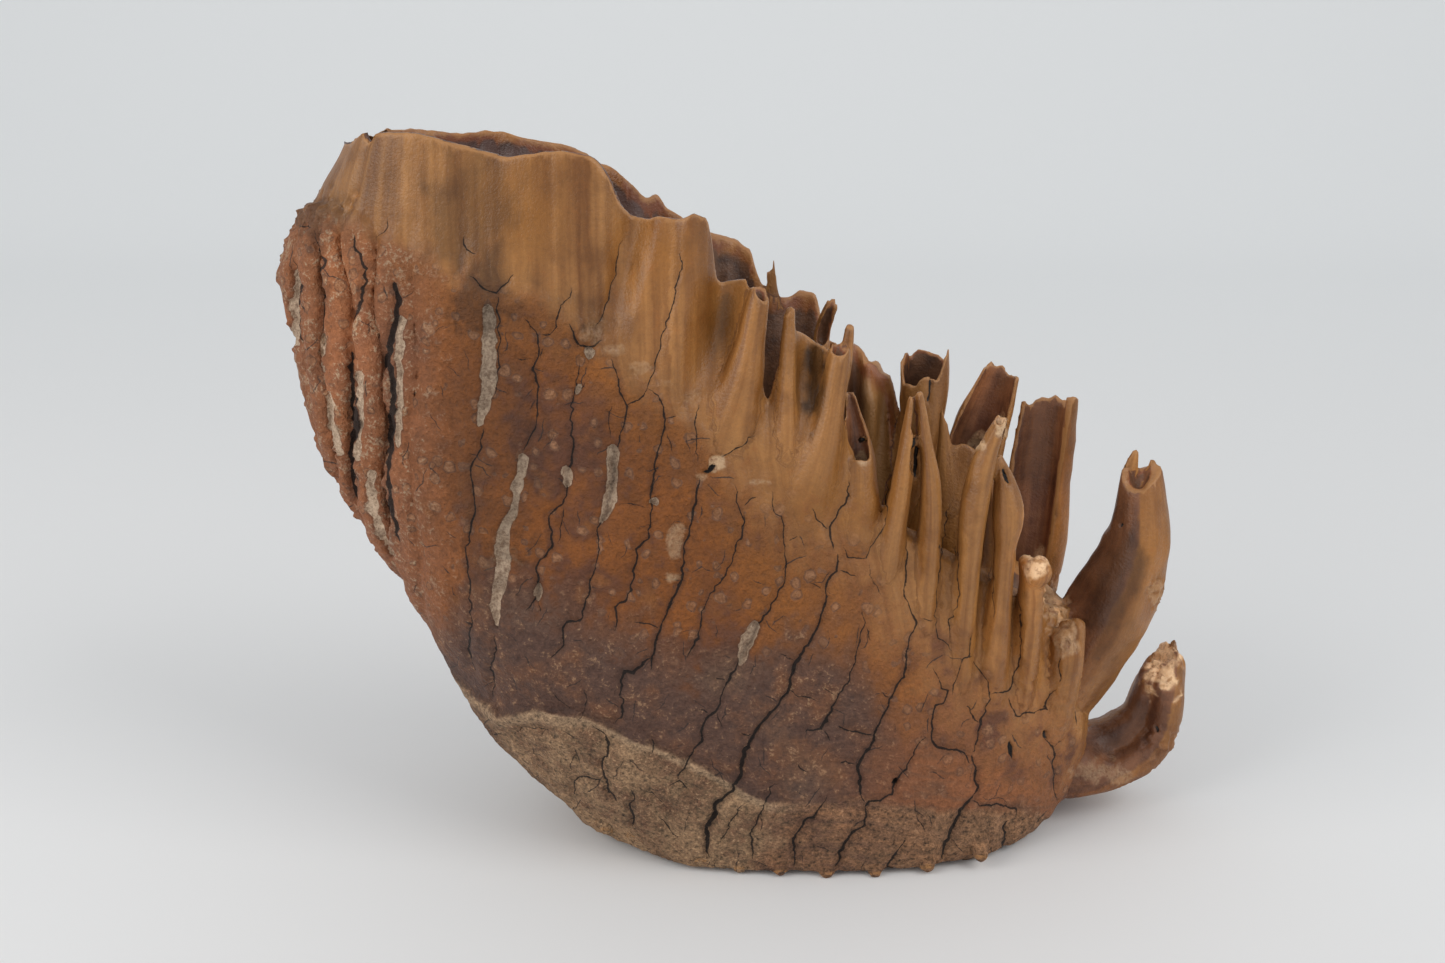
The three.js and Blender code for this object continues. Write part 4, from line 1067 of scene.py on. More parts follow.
# the last value paints patches lighter or darker: partly the tooth's own tone, partly painted highlights on lit crests
# and faces and painted shade in recesses and on shaded flanks
PATCHES = [  # middle and reach in pixels, then how crusty, how pale and how much lighter
    (586, 334, 15, 15, 1.0, 0.5, 0), (612, 352, 17, 9, 0.8, 0.5, 0), (637, 370, 17, 9, 0.8, 0.5, 0),
    (662, 387, 15, 8, 0.7, 0.4, 0), (691, 400, 13, 9, 0.7, 0.4, 0), (716, 466, 11, 12, 0.8, 0.9, 0),
    (702, 478, 9, 8, 0.6, 0.6, 0), (500, 545, 18, 32, 0.7, 0.4, 0), (676, 545, 10, 17, 0.7, 0.6, 0),
    (672, 580, 8, 7, 0.5, 0.7, 0), (757, 484, 14, 5, 0.3, 0.6, 0), (655, 300, 26, 90, 0, 0, 0.5),
    (689, 300, 10, 95, 0, 0, 0.5), (745, 350, 20, 62, 0, 0, 0.5), (722, 400, 32, 42, 0, 0, 0.3),
    (727, 322, 9, 38, 0, 0, -0.3), (787, 420, 14, 50, 0, 0, 0.3), (832, 420, 18, 62, 0, 0, 0.3),
    (815, 385, 12, 42, 0, 0, -1.8), (868, 366, 22, 24, 0, 0, 0.9), (1040, 566, 13, 16, 0, 1.0, 0.4),
    (1058, 603, 15, 22, 1.0, 0.6, 0), (1069, 640, 16, 27, 1.0, 0.6, 0.1), (980, 443, 10, 12, 0.6, 0.8, 0),
    (1003, 428, 8, 14, 0.5, 0.9, 0.2), (1163, 592, 10, 22, 1.0, 0.5, 0), (340, 165, 62, 60, 0, 0, -0.4),
    (322, 226, 33, 34, 1.0, 0.2, -1.1), (300, 300, 20, 60, 0.5, 0.2, 0.3), (345, 330, 28, 105, 0.3, 0.1, 0.95),
    (370, 500, 34, 90, 0.4, 0.2, 0.4), (1168, 670, 19, 34, 1.0, 1.0, 2.1), (1172, 740, 26, 24, 1.0, 0, 0.1),
    (1108, 772, 44, 14, 0.6, 0.5, 0.2), (1046, 700, 50, 60, 0.5, 0.1, 0.4), (1000, 790, 60, 20, 0.3, 0, 0.4),
    (1044, 530, 18, 60, 0, 0, 2.2), (1068, 500, 9, 110, 0, 0, 1.0), (1010, 405, 9, 28, 0, 0, 1.0),
    (982, 400, 20, 38, 0, 0, 2.0), (1150, 540, 22, 90, 0, 0, 0.7), (862, 430, 10, 34, 0, 0, 0.5),
    (862, 459, 9, 9, 0.4, 0.8, 0.2), (1126, 722, 26, 24, 0.3, 0, -0.4), (905, 470, 14, 70, 0, 0, 0.2),
    (490, 430, 60, 160, 0, 0, -0.7), (466, 215, 52, 70, 0, 0, -0.9), (482, 300, 40, 42, 0, 0, -1.3),
    (500, 520, 36, 44, 0, 0, -0.75), (640, 450, 62, 62, 0, 0, -0.5), (560, 330, 42, 36, 0, 0, -0.65),
    (1108, 738, 14, 18, 0, 0, -0.8), (770, 560, 44, 60, 0, 0, -0.35), (1040, 640, 60, 70, 0, 0, 0.5),
    (1036, 565, 18, 45, 0, 0, 1.9), (1064, 545, 9, 60, 0, 0, 2.6), (1112, 600, 24, 44, 0, 0, -0.9),
    (1138, 556, 12, 36, 0, 0, -0.9), (700, 550, 80, 60, 0, 0, -0.3),
]


def zone_depth(line, pixels):
    """How far below a zone line a pixel lies, in mm."""
    return (pixels[:, 1] - line_read(line, pixels[:, 0])) / PIXELS_PER_MM


crust = zone_depth(CRUST_TOP, pixels) * mix(1, 0.3, soft_step(640, 800, pixels[:, 0]))
band = zone_depth(BAND_TOP, pixels)
base = zone_depth(BASE_TOP, pixels)
slot = np.full(len(points), -REACH)
for line in SLOTS:
    slot_gap, slot_half = line_fields(pixels + 2.6 * wobble, [line], outer, 1, 3.2)
    slot = np.maximum(slot, slot_half - np.abs(slot_gap))
slot += 0.35 * cloud(points, 1.5, 51)
torn = 0.3 * cloud(points, 1.6, 53) + 0.35 * cloud(points, 3.4, 54)
crusty, pale, lighter = np.zeros((3, len(points)))
for x, y, wide, high, crusty_by, pale_by, tone_and_light_by in PATCHES:
    away = np.hypot((pixels[:, 0] - x) / wide, (pixels[:, 1] - y) / high) + 0.3 * wobble[:, 0] + torn
    inside_patch = soft_step(1.2, 0.55, away)
    crusty = np.maximum(crusty, crusty_by * inside_patch)
    pale = np.maximum(pale, pale_by * inside_patch)
    lighter = lighter + (tone_and_light_by - lighter) * inside_patch * (tone_and_light_by != 0)
print("points in a slot:", int((slot > 0).sum()))

# %% [markdown]
# ## Carving
# Every point now moves along its normal: down into cracks and slots, up where crust lies on, and a little
# everywhere, because nothing that grew is flat. A crack's cross section is a bell that is about as deep as the
# crack is wide. At the end the skin is scaled a little in plan, to stay within the frame's box. Clipping it
# there would leave flat places, which lose their points in the next step.

# %% Moving the points
SLOT_DEPTH, PIT_DEPTH, FINE_DEPTH = 1.1, 1.6, 0.16  # mm, as the next values
PLATE_BULGE = 0.5  # how far the surface stands up between cracks
CRUST_HEIGHT, LEFT_CRUST_HEIGHT = 0.55, 1.1
LEDGE_CREST = 1.5
STREAK_HEIGHT = 0.16
FOOT_LIFT = 1.2
HALF_BOX = np.array([132.6, 46.3])

on_crown = outer & (labels[:, 2] < 0.25)
shell = np.where(labels[:, 0] < 0.5, 1.0, 0.35)
thick_crust = soft_step(-1.5, 2.0, crust + 2.2 * cloud(points, 6, 41) + 1.2 * cloud(points, 2.4, 42)) * on_crown


def groove(gap, half):
    """Depth of a crack: (0.2 + 2 half) * bell of the distance."""
    return (0.2 + 2.0 * half) * bell(gap, 0.45 + 0.9 * half) * soft_step(0, 0.12, half)


out = -np.max([groove(gap, half) for gap, half in fields], 0)
out += PLATE_BULGE * (1 - bell(nearest, 2.2)) * outer * soft_step(0, 8, crust)
out -= SLOT_DEPTH * soft_step(-0.15, 0.3, slot) + PIT_DEPTH * soft_step(-0.2, 0.6, pit)
out += crusty * (0.5 - 1.9 * np.abs(cloud(points, 2.6, 61)) - 0.9 * np.abs(cloud(points, 1.4, 62)))
out -= FINE_DEPTH * np.max([bell(gap, 0.6) * soft_step(0, 0.08, half) for gap, half in hair_fields], 0)
west = soft_step(-92, -116, points[:, 0])
out += (thick_crust * mix(CRUST_HEIGHT, LEFT_CRUST_HEIGHT, west)
        - 1.3 * west * (1 - thick_crust) * soft_step(160, 178, points[:, 2]))
lip = soft_step(-0.5, 0.5, base + 0.6 * cloud(points, 5, 48)) * mix(1, 0.45, soft_step(1.5, 5, base))
lip *= soft_step(16, 6, base)
out += LEDGE_CREST * lip * soft_step(430, 500, pixels[:, 0]) * soft_step(860, 740, pixels[:, 0]) * outer
out += shell * (0.45 * cloud(points, 15, 43) + 0.22 * cloud(points, 6, 44))
crumbs = np.maximum(cloud(points, 2.0, 49), 0) ** 2
out += thick_crust * (0.26 * cloud(points, 2.6, 45) + 0.18 * cloud(points, 1.3, 46) + west * 1.1 * crumbs)
streak = cloud(np.stack([grain[:, 0] / 1.9, grain[:, 1] / 3, grain[:, 2] / 30], 1), 1.0, 47)
out += STREAK_HEIGHT * streak * (1 - thick_crust) * shell
carved = points + normals * out[:, None]
foot = soft_step(5, 1, points[:, 2]) * soft_step(0.85, 0.97, np.abs(points[:, 1]) / line_read(
    LEVELS[0][:, [0, 2]], points[:, 0] - SHIFT_X)) * on_crown
carved[:, 2] += FOOT_LIFT * foot * (1 - soft_step(0.3, 0.5, labels[:, 2]))
fit = HALF_BOX / np.abs(carved[:, :2]).max(0)
carved[:, :2] *= fit
carved[:, 2] = np.maximum(carved[:, 2], 0)
write_points(skin_mesh, carved)
for number, (gap, half) in enumerate(fields):
    write_field(skin_mesh, f"crack_{number}", np.stack([gap, half, 0 * gap], 1))
for number, (gap, half) in enumerate(hair_fields):
    write_field(skin_mesh, f"hair_{number}", np.stack([gap, half, slot], 1))
write_field(skin_mesh, "patch", np.stack([np.maximum(crusty, 2 * soft_step(-0.5, 0.5, pit)), pale, lighter], 1))
write_field(skin_mesh, "zone", np.stack([crust, band, base], 1))
print("carved skin scaled in plan by", fit.round(4), "spans", carved.min(0).round(2), "to", carved.max(0).round(2))

# %% [markdown]
# ## Fewer triangles
# The carved skin has far more faces than it needs. Collapsing edges keeps them where the surface bends, in
# cracks and along rims, and the stored fields come along.

# %% Decimation to the final mesh
TRIANGLES = 188000

count = 2 * len(skin_mesh.vertices)
thin = tooth.modifiers.new("thin_out", "DECIMATE")
thin.ratio = TRIANGLES / count
graph = bpy.context.evaluated_depsgraph_get()
final_mesh = bpy.data.meshes.new_from_object(tooth.evaluated_get(graph), depsgraph=graph)
tooth.modifiers.clear()
tooth.data = final_mesh
final_mesh.name = "tooth_final"
bpy.data.meshes.remove(skin_mesh)
final_mesh.shade_smooth()
final_mesh.calc_loop_triangles()
print("final skin:", len(final_mesh.vertices), "points,", len(final_mesh.loop_triangles), "triangles")

# %% [markdown]
# ## The surface's colours
# All colour comes from where a point lies: its zone, its gap to a crack, its place along the grain, and
# noises of a few sizes in mm. Short calls for nodes keep the recipe readable.

# %% Short calls for nodes


def rgb(red, green, blue):
    """A screen colour of 0 to 255 as the linear light that nodes work with: ((c + 0.055) / 1.055)^2.4."""
    share = np.array([red, green, blue]) / 255
    light = np.where(share < 0.04045, share / 12.92, ((share + 0.055) / 1.055) ** 2.4)
    return (*light.tolist(), 1.0)


class Recipe:
    """Adds nodes to one tree. Each call returns the new node's main output."""

    def __init__(self, tree):
        self.tree = tree
        self.place = self.add("ShaderNodeTexCoord", "Object")

    def add(self, kind, output=0, inputs=(), **settings):
        """A node with settings; inputs maps socket names or numbers to values or to other outputs."""
        node = self.tree.nodes.new(kind)
        for title, value in settings.items():
            setattr(node, title, value)
        for title, value in dict(inputs).items():
            self.put(node.inputs[title], value)
        return node.outputs[output]

    def put(self, socket, value):
        """Links an output to the socket, or sets its constant."""
        if isinstance(value, bpy.types.NodeSocket):
            self.tree.links.new(value, socket)
        else:
            socket.default_value = value

    def math(self, operation, a, b=0.0, c=0.0):
        """One Math node. MULTIPLY_ADD is a * b + c."""
        return self.add("ShaderNodeMath", 0, {0: a, 1: b, 2: c}, operation=operation)

    def times(self, a, b):
        """a * b."""
        return self.math("MULTIPLY", a, b)

    def step(self, value, start, end, low=0.0, high=1.0):
        """Soft step from low to high while the value goes from start to end."""
        inputs = {"Value": value, "From Min": start, "From Max": end, "To Min": low, "To Max": high}
        return self.add("ShaderNodeMapRange", 0, inputs, interpolation_type="SMOOTHSTEP")

    def mix(self, a, b, f):
        """Colour a where f is nought, b where it is one."""
        return self.add("ShaderNodeMix", 2, {0: f, 6: a, 7: b}, data_type="RGBA")

    def noise(self, size, detail=3.0, rough=0.55, place=None, warp=0.0):
        """Noise with lumps of a size in mm, spread about nought from about -1 to 1."""
        inputs = {"Vector": place or self.place, "Scale": (1000.0 if place is None else 1.0) / size,
                  "Detail": detail, "Roughness": rough, "Distortion": warp}
        return self.math("MULTIPLY_ADD", self.add("ShaderNodeTexNoise", 0, inputs), 4.0, -2.0)

    def field(self, title):
        """The three parts of a stored field."""
        vector = self.add("ShaderNodeAttribute", "Vector", attribute_name=title)
        split = self.tree.nodes.new("ShaderNodeSeparateXYZ")
        self.tree.links.new(vector, split.inputs[0])
        return vector, split.outputs[0], split.outputs[1], split.outputs[2]


material = bpy.data.materials.new("fossil_tooth")
material.use_nodes = True
shader = material.node_tree.nodes["Principled BSDF"]
paint = Recipe(material.node_tree)
print("material:", material.name)

# %% [markdown]
# The masks come first. Every border between zones is shaken by noise, so that none of them is a line.

# %% Masks
east = paint.add("ShaderNodeSeparateXYZ", 0, {"Vector": paint.place})
big, middle = paint.noise(34, 1), paint.noise(10, 2)
small, fine = paint.noise(3.0, 3, 0.65), paint.noise(0.8, 2, 0.65)
_, crust_depth, band_depth, base_depth = paint.field("zone")
_, crusty_in, pale_in, tone_and_light_in = paint.field("patch")
_, inside_label, edge_light_shade_label, _ = paint.field("labels")
grain_place, _, _, _ = paint.field("grain")


def shaken(value, coarse, coarse_by, small_by):
    """value + coarse * coarse_by + small * small_by."""
    return paint.math("MULTIPLY_ADD", small, small_by, paint.math("MULTIPLY_ADD", coarse, coarse_by, value))


def inside_line(distance, half):
    """One where the distance from a crack's middle is below its half width, shaken by fine noise."""
    moved = paint.math("ABSOLUTE", paint.math("MULTIPLY_ADD", small, 0.14, distance))
    reach = paint.math("MULTIPLY_ADD", fine, 0.07, moved)
    return paint.times(paint.step(paint.math("SUBTRACT", half, reach), -0.1, 0.07),
                      paint.step(half, 0.03, 0.1))


crust_mask = paint.step(shaken(crust_depth, middle, 3.4, 2.0), -3.5, 7.5)
band_mask = paint.step(shaken(band_depth, middle, 6.0, 3.4), -11, 9)
base_mask = paint.step(shaken(base_depth, middle, 1.2, 0.8), -1.2, 2.0)
# painted shade: the middles of the cracks and the fine cracks are painted dark for the shade in their gaps
crack_mask, halo = 0.0, 0.0
for number in range(len(groups)):
    _, gap_in, half_in, _ = paint.field(f"crack_{number}")
    crack_mask = paint.math("MAXIMUM", crack_mask, inside_line(gap_in, half_in))
    if number < 2:
        spread = paint.step(paint.math("ABSOLUTE", gap_in), 2.4, 0.2)
        halo = paint.math("MAXIMUM", halo, paint.times(spread, paint.step(half_in, 0.08, 0.4)))
hair_mask = 0.0
for number in range(HAIR_GROUPS):
    _, gap_in, half_in, slot_depth = paint.field(f"hair_{number}")
    hair_mask = paint.math("MAXIMUM", hair_mask, paint.times(inside_line(gap_in, half_in), 0.85))
slot_mask = paint.step(paint.math("MULTIPLY_ADD", small, 0.3, slot_depth), -0.1, 0.1)
# painted shade along the sunken edge of each slot
slot_rim = paint.times(paint.step(paint.math("MULTIPLY_ADD", small, 0.3, slot_depth), -0.5, -0.05),
                      paint.step(slot_depth, 0.35, 0.1))
crack_mask = paint.times(crack_mask, paint.step(slot_depth, 0.3, -0.1, 0.15, 1.0))
# painted shade in the pits
pit_mask = paint.step(crusty_in, 1.15, 1.6)
patch_mask = paint.times(paint.step(paint.math("MULTIPLY_ADD", small, 0.25, pale_in), 0.25, 0.9), 0.85)
# the hollows, which are painted dark as painted shade
deep_mask = paint.step(inside_label, 0.62, 0.95)
shell_mask = paint.step(inside_label, 0.15, 0.4)
edge_mask = paint.times(paint.step(shaken(edge_light_shade_label, middle, 0.15, 0.2), 0.45, 0.95), 0.7)
# painted shade in the valleys of the folds
valley_shade_mask = paint.step(edge_light_shade_label, -0.66, -1.05)
ledge_share = paint.step(east, 0.02, -0.004)
# painted highlight on the crest of the ledge, and painted shade in a strip just above it
ledge_highlight_mask = paint.times(paint.step(shaken(base_depth, middle, 0.5, 0.3), 0.0, 0.9),
                        paint.step(shaken(base_depth, middle, 0.8, 0.3), 4.4, 1.8))
ledge_highlight_mask = paint.times(ledge_highlight_mask, ledge_share)
ledge_shade_mask = paint.times(paint.step(shaken(base_depth, middle, 0.6, 0.3), -2.8, -0.7),
                        paint.step(shaken(base_depth, middle, 0.5, 0.3), 0.7, -0.1))
ledge_shade_mask = paint.times(ledge_shade_mask, ledge_share)
left_mask = paint.step(paint.math("MULTIPLY_ADD", middle, 0.006, east), -0.074, -0.096)
right_mask = paint.step(paint.math("MULTIPLY_ADD", big, 0.012, east), 0.02, 0.06)
band_mask = paint.times(band_mask, paint.math("MULTIPLY_ADD", right_mask, -0.4, 0.92))
print("masks set")

# %% [markdown]
# The smooth wall of the roots and the cup shows fine and broad stripes along its growth, so its noise is read
# on the grain, the place that every part stored for itself: where round it, and how far up.

# %% Colour of the smooth wall
stretch = {"Location": (0, 0, 0), "Scale": (0.42, 0.24, 0.014)}
along_grain = paint.add("ShaderNodeMapping", 0, {"Vector": grain_place, **stretch})
stripes = paint.noise(1.0, 3, 0.6, along_grain)
broad_place = paint.add("ShaderNodeMapping", 0, {"Vector": grain_place, "Location": (7, 3, 0),
                                                 "Scale": (0.12, 0.07, 0.01)})
broad = paint.noise(1.0, 2, 0.5, broad_place)
striped = paint.step(shaken(broad, stripes, 0.8, 0.0), -1.5, 1.4)
smooth_colour = paint.mix(rgb(112, 71, 39), rgb(171, 123, 78), striped)
smooth_colour = paint.mix(smooth_colour, rgb(112, 72, 40), paint.step(middle, -0.1, 1.3, 0, 0.75))
smooth_colour = paint.mix(smooth_colour, rgb(150, 100, 50), paint.step(big, 0.0, 1.1, 0, 0.6))
smooth_colour = paint.mix(smooth_colour, rgb(132, 82, 44), paint.step(small, 0.2, 1.4, 0, 0.5))
# painted shade: the valleys of the folds are painted darker
smooth_colour = paint.mix(smooth_colour, rgb(92, 66, 40), paint.times(valley_shade_mask, 0.4))

# %% [markdown]
# Crown cement is warmer and darker, with round scabs. They are Voronoi cells: the distance to the cell's middle
# is cut off at a size that each cell's own random colour gives, and the place is bent so that none is a circle.

# %% Colour of the crown
crown_colour = paint.mix(rgb(130, 78, 40), rgb(92, 56, 38), paint.step(shaken(big, middle, 1.0, 0.6), -0.6, 0.8))
crown_colour = paint.mix(crown_colour, rgb(152, 98, 52), paint.step(crust_depth, 26, 4, 0, 0.45))
crown_colour = paint.mix(crown_colour, rgb(148, 94, 50), paint.step(middle, 0.2, 1.0, 0, 0.6))
crown_colour = paint.mix(crown_colour, rgb(80, 50, 38), paint.step(small, 0.1, 1.3, 0, 0.6))
crown_colour = paint.mix(crown_colour, rgb(140, 92, 66), paint.times(left_mask, 0.7))
crown_colour = paint.mix(crown_colour, rgb(138, 92, 64), paint.times(right_mask, 0.6))
stained = paint.times(right_mask, paint.step(shaken(middle, small, 0.5, 0.0), 0.15, 0.75, 0, 0.8))
crown_colour = paint.mix(crown_colour, rgb(86, 54, 42), stained)

shift = paint.add("ShaderNodeVectorMath", 0, {0: paint.add("ShaderNodeTexNoise", 1, {
    "Vector": paint.place, "Scale": 300.0, "Detail": 1.0}), "Scale": 0.0024}, operation="SCALE")
bent_place = paint.add("ShaderNodeVectorMath", 0, {0: paint.place, 1: shift})
cells = paint.add("ShaderNodeTexVoronoi", 0, {"Vector": bent_place, "Scale": 250.0})
cell_share = paint.add("ShaderNodeSeparateColor", 0, {"Color": cells.node.outputs["Color"]})
spot_size = paint.step(paint.math("MULTIPLY_ADD", middle, 0.35, cell_share), 0.1, 1.05, 0.0, 0.46)
spot_depth = paint.math("SUBTRACT", spot_size, paint.math("MULTIPLY_ADD", fine, 0.03, cells))
spots = paint.step(spot_depth, -0.04, 0.06)
spot_rings = paint.times(spots, paint.step(spot_depth, 0.16, 0.05))
spot_fill = paint.times(spots, paint.step(shaken(fine, small, 0.8, 0.0), -0.9, 0.9, 0.3, 0.85))
crown_colour = paint.mix(crown_colour, rgb(150, 110, 82), spot_fill)
crown_colour = paint.mix(crown_colour, rgb(78, 48, 36), paint.times(spot_rings, 0.6))
crumb_mask = paint.times(left_mask, paint.step(shaken(fine, middle, 0.5, 1.0), 0.2, 1.3))
crown_colour = paint.mix(crown_colour, rgb(156, 134, 110), paint.times(crumb_mask, 0.8))

# %% [markdown]
# The band is dark with pale specks. The base is pale and rough, with layers that follow the old gum line, so
# their noise is stretched along it: it reads the depth below the line in place of the height.

# %% Colours of the band and the base
band_colour = paint.mix(rgb(84, 62, 53), rgb(116, 76, 52), paint.step(shaken(middle, big, 0.6, 0.3), -0.5, 1.4))
band_colour = paint.mix(band_colour, rgb(90, 78, 68), paint.step(big, 0.2, 1.2, 0, 0.6))
specks = paint.step(shaken(fine, middle, 0.3, 1.0), 0.45, 1.2)
band_colour = paint.mix(band_colour, rgb(70, 48, 42), paint.step(shaken(small, middle, 0.8, 0.0), 0.2, -1.3, 0, 0.6))
band_colour = paint.mix(band_colour, rgb(146, 116, 90), paint.times(specks, 0.7))

base_colour = paint.mix(rgb(156, 126, 98), rgb(106, 78, 60), paint.step(shaken(middle, big, 0.7, 0.9), -0.9, 1.3))
base_colour = paint.mix(base_colour, rgb(172, 144, 114), paint.step(shaken(fine, small, 0.6, 0.0), 0.2, 1.3, 0, 0.6))
layer_place = paint.add("ShaderNodeCombineXYZ", 0, {0: paint.times(east, 70.0), 2: paint.times(base_depth, 0.42)})
layered = paint.noise(1.0, 3, 0.6, layer_place)
base_colour = paint.mix(base_colour, rgb(88, 62, 48), paint.step(shaken(layered, small, 0.3, 0.0), 0.1, 1.0, 0, 0.7))
browner = paint.step(paint.math("MULTIPLY_ADD", middle, 0.008, east), -0.006, 0.012)
brown_layers = paint.mix(rgb(92, 64, 52), rgb(148, 106, 78), paint.step(shaken(layered, small, 0.4, 0.0), 0.7, -0.8))
base_colour = paint.mix(base_colour, brown_layers, paint.times(browner, 0.7))
ruddy = paint.times(right_mask, paint.step(shaken(layered, middle, 0.5, 0.2), 0.9, -0.3))
band_colour = paint.mix(band_colour, rgb(146, 90, 60), paint.times(ruddy, 0.7))
base_colour = paint.mix(base_colour, rgb(158, 122, 92), paint.times(right_mask, 0.35))
print("colours set")

# %% [markdown]
# The zones are laid over each other. Then come painted shade just above the ledge and a painted highlight
# on its crest, the grit, fine cracks, slots, wide cracks with a darker rim, broken faces, hollows, patches,
# and at last the light broken edges and the pits. The middles of the cracks, the slots' edges, the hollows
# and the pits are painted dark as painted shade; lit parts of the hollows and some patches are painted
# lighter as painted light.

# %% Layers
colour = paint.mix(smooth_colour, crown_colour, crust_mask)
colour = paint.mix(colour, band_colour, band_mask)
colour = paint.mix(colour, base_colour, base_mask)
# painted shade just above the ledge, and a painted highlight on its crest
colour = paint.mix(colour, rgb(72, 50, 42), paint.times(ledge_shade_mask, 0.6))
colour = paint.mix(colour, rgb(164, 138, 112), paint.times(ledge_highlight_mask, 0.6))

grit = paint.noise(1.5, 2, 0.7)
mottle_by = paint.math("MULTIPLY_ADD", base_mask, 0.32, paint.math("MULTIPLY_ADD", crust_mask, 0.12, 0.07))
mottle = paint.math("MULTIPLY_ADD", shaken(grit, fine, 0.7, 0.7), mottle_by, 1.0)
colour = paint.add("ShaderNodeHueSaturation", 0, {"Color": colour, "Value": mottle, "Saturation": 1.07})
# painted shade in the fine cracks
colour = paint.mix(colour, rgb(40, 28, 24), hair_mask)

slot_colour = paint.mix(rgb(196, 170, 144), rgb(134, 108, 86), paint.step(shaken(fine, small, 0.7, 0.2), -1.1, 1.3))
# painted shade at the slots' edges
colour = paint.mix(colour, rgb(78, 52, 38), paint.times(slot_rim, 0.35))
colour = paint.mix(colour, slot_colour, slot_mask)
colour = paint.mix(colour, rgb(66, 46, 38), paint.times(halo, 0.35))
# painted shade in the middles of the cracks
colour = paint.mix(colour, rgb(26, 19, 16), paint.times(crack_mask, 0.92))
# broken faces take this colour, and so do the flanks of two roots that are painted in shade
shell_colour = paint.mix(rgb(134, 88, 58), rgb(88, 54, 38), paint.step(shaken(stripes, middle, 0.9, 0.4), -1.4, 1.4))
colour = paint.mix(colour, shell_colour, shell_mask)
# painted shade: the insides of the cup and the bores are painted dark brown for the shade in the hollows
hollow_shade_and_light = paint.mix(rgb(92, 66, 58), rgb(108, 74, 52), paint.step(paint.math("MULTIPLY_ADD", middle, 0.006,
                          east), -0.04, -0.012))
hollow_shade_and_light = paint.mix(hollow_shade_and_light, rgb(66, 44, 34), paint.step(shaken(middle, small, 0.5, 0.0), -0.4, 1.0))
# painted light: the far wall's inner face behind the front roots and the inside just below the rims are painted lighter
# where light reaches them
lit_far_wall = paint.times(paint.step(east, 0.03, 0.036), paint.step(east, 0.0455, 0.0425))
hollow_shade_and_light = paint.mix(hollow_shade_and_light, rgb(162, 116, 66), paint.times(lit_far_wall, 0.8))
below_rim_light = paint.mix(rgb(128, 72, 42), rgb(172, 114, 58), paint.step(middle, -0.3, 1.0))
hollow_shade_and_light = paint.mix(hollow_shade_and_light, below_rim_light, paint.step(shaken(edge_light_shade_label, middle, 0.08, 0.06), 0.12, 0.4, 0, 0.85))
colour = paint.mix(colour, hollow_shade_and_light, deep_mask)
patch_colour = paint.mix(rgb(204, 170, 132), rgb(126, 88, 62), paint.step(shaken(small, fine, 0.7, 0.4), -0.5, 1.4))
colour = paint.mix(colour, patch_colour, patch_mask)
# painted light and shade: the patches brighten lit crests and faces and darken recesses, partly also the tooth's own
# tone
tone_and_light_factor = paint.math("MULTIPLY_ADD", tone_and_light_in, 0.42, 1.0)
colour = paint.add("ShaderNodeHueSaturation", 0, {"Color": colour, "Value": tone_and_light_factor, "Saturation": 1.0})
colour = paint.mix(colour, rgb(182, 130, 80), edge_mask)
# painted shade in the pits
colour = paint.mix(colour, rgb(24, 17, 14), pit_mask)
paint.put(shader.inputs["Base Color"], colour)
print("nodes:", len(material.node_tree.nodes))

# %% [markdown]
# The smooth wall has a soft gloss, crust less of it, and the base and the cracks are dull. The mesh already
# holds what is larger than about a millimetre. Lower and finer grains are added as a bump.

# %% Gloss and small relief
roughness = paint.mix((0.4, 0.4, 0.4, 1), (0.72, 0.72, 0.72, 1), crust_mask)
roughness = paint.mix(roughness, (0.88, 0.88, 0.88, 1), paint.math("MAXIMUM", base_mask, crack_mask))
paint.put(shader.inputs["Roughness"], roughness)
paint.put(shader.inputs["Specular IOR Level"], 0.45)
height = paint.math("MULTIPLY_ADD", paint.times(small, crust_mask), 0.18, paint.times(fine, 0.06))
height = paint.math("MULTIPLY_ADD", paint.times(grit, crust_mask), 0.14, height)
height = paint.math("MULTIPLY_ADD", paint.times(grit, base_mask), 0.34, height)
height = paint.math("MULTIPLY_ADD", stripes, 0.03, height)
bump = paint.add("ShaderNodeBump", 0, {"Strength": 1.0, "Distance": 0.001, "Height": height})
paint.put(shader.inputs["Normal"], bump)
final_mesh.materials.clear()
final_mesh.materials.append(material)
print("relief set")

# %% [markdown]
# ## The stage
# A pale floor that bends up behind the tooth and is painted brighter towards the back, as painted light,
# two soft lights of the same power from the upper right and the upper left, and an even pale sky, as in a
# studio. The camera takes its numbers from the first cells.

# %% The floor
FLOOR_FRONT, FLOOR_SIDE = 1.6, 2.2  # metres, as the next values
BEND_START, BEND_SIZE, BACK_RISE = 0.9, 0.6, 1.4

bend = np.linspace(0, math.pi / 2, 24)
profile_y = np.concatenate([[-FLOOR_FRONT], BEND_START + BEND_SIZE * np.sin(bend), [BEND_START + BEND_SIZE]])
profile_z = np.concatenate([[0], BEND_SIZE - BEND_SIZE * np.cos(bend), [BACK_RISE]])
floor_x = np.array([-FLOOR_SIDE, FLOOR_SIDE])
floor_points = np.stack([np.repeat(floor_x, len(profile_y)), np.tile(profile_y, 2), np.tile(profile_z, 2)], 1)
k = np.arange(len(profile_y) - 1)
floor_faces = np.stack([k, k + len(profile_y), k + len(profile_y) + 1, k + 1], 1)
floor_mesh = bpy.data.meshes.new("floor")
floor_mesh.from_pydata(floor_points.tolist(), [], floor_faces.tolist())
floor_mesh.shade_smooth()
floor_object = bpy.data.objects.new("floor", floor_mesh)
bpy.context.scene.collection.objects.link(floor_object)
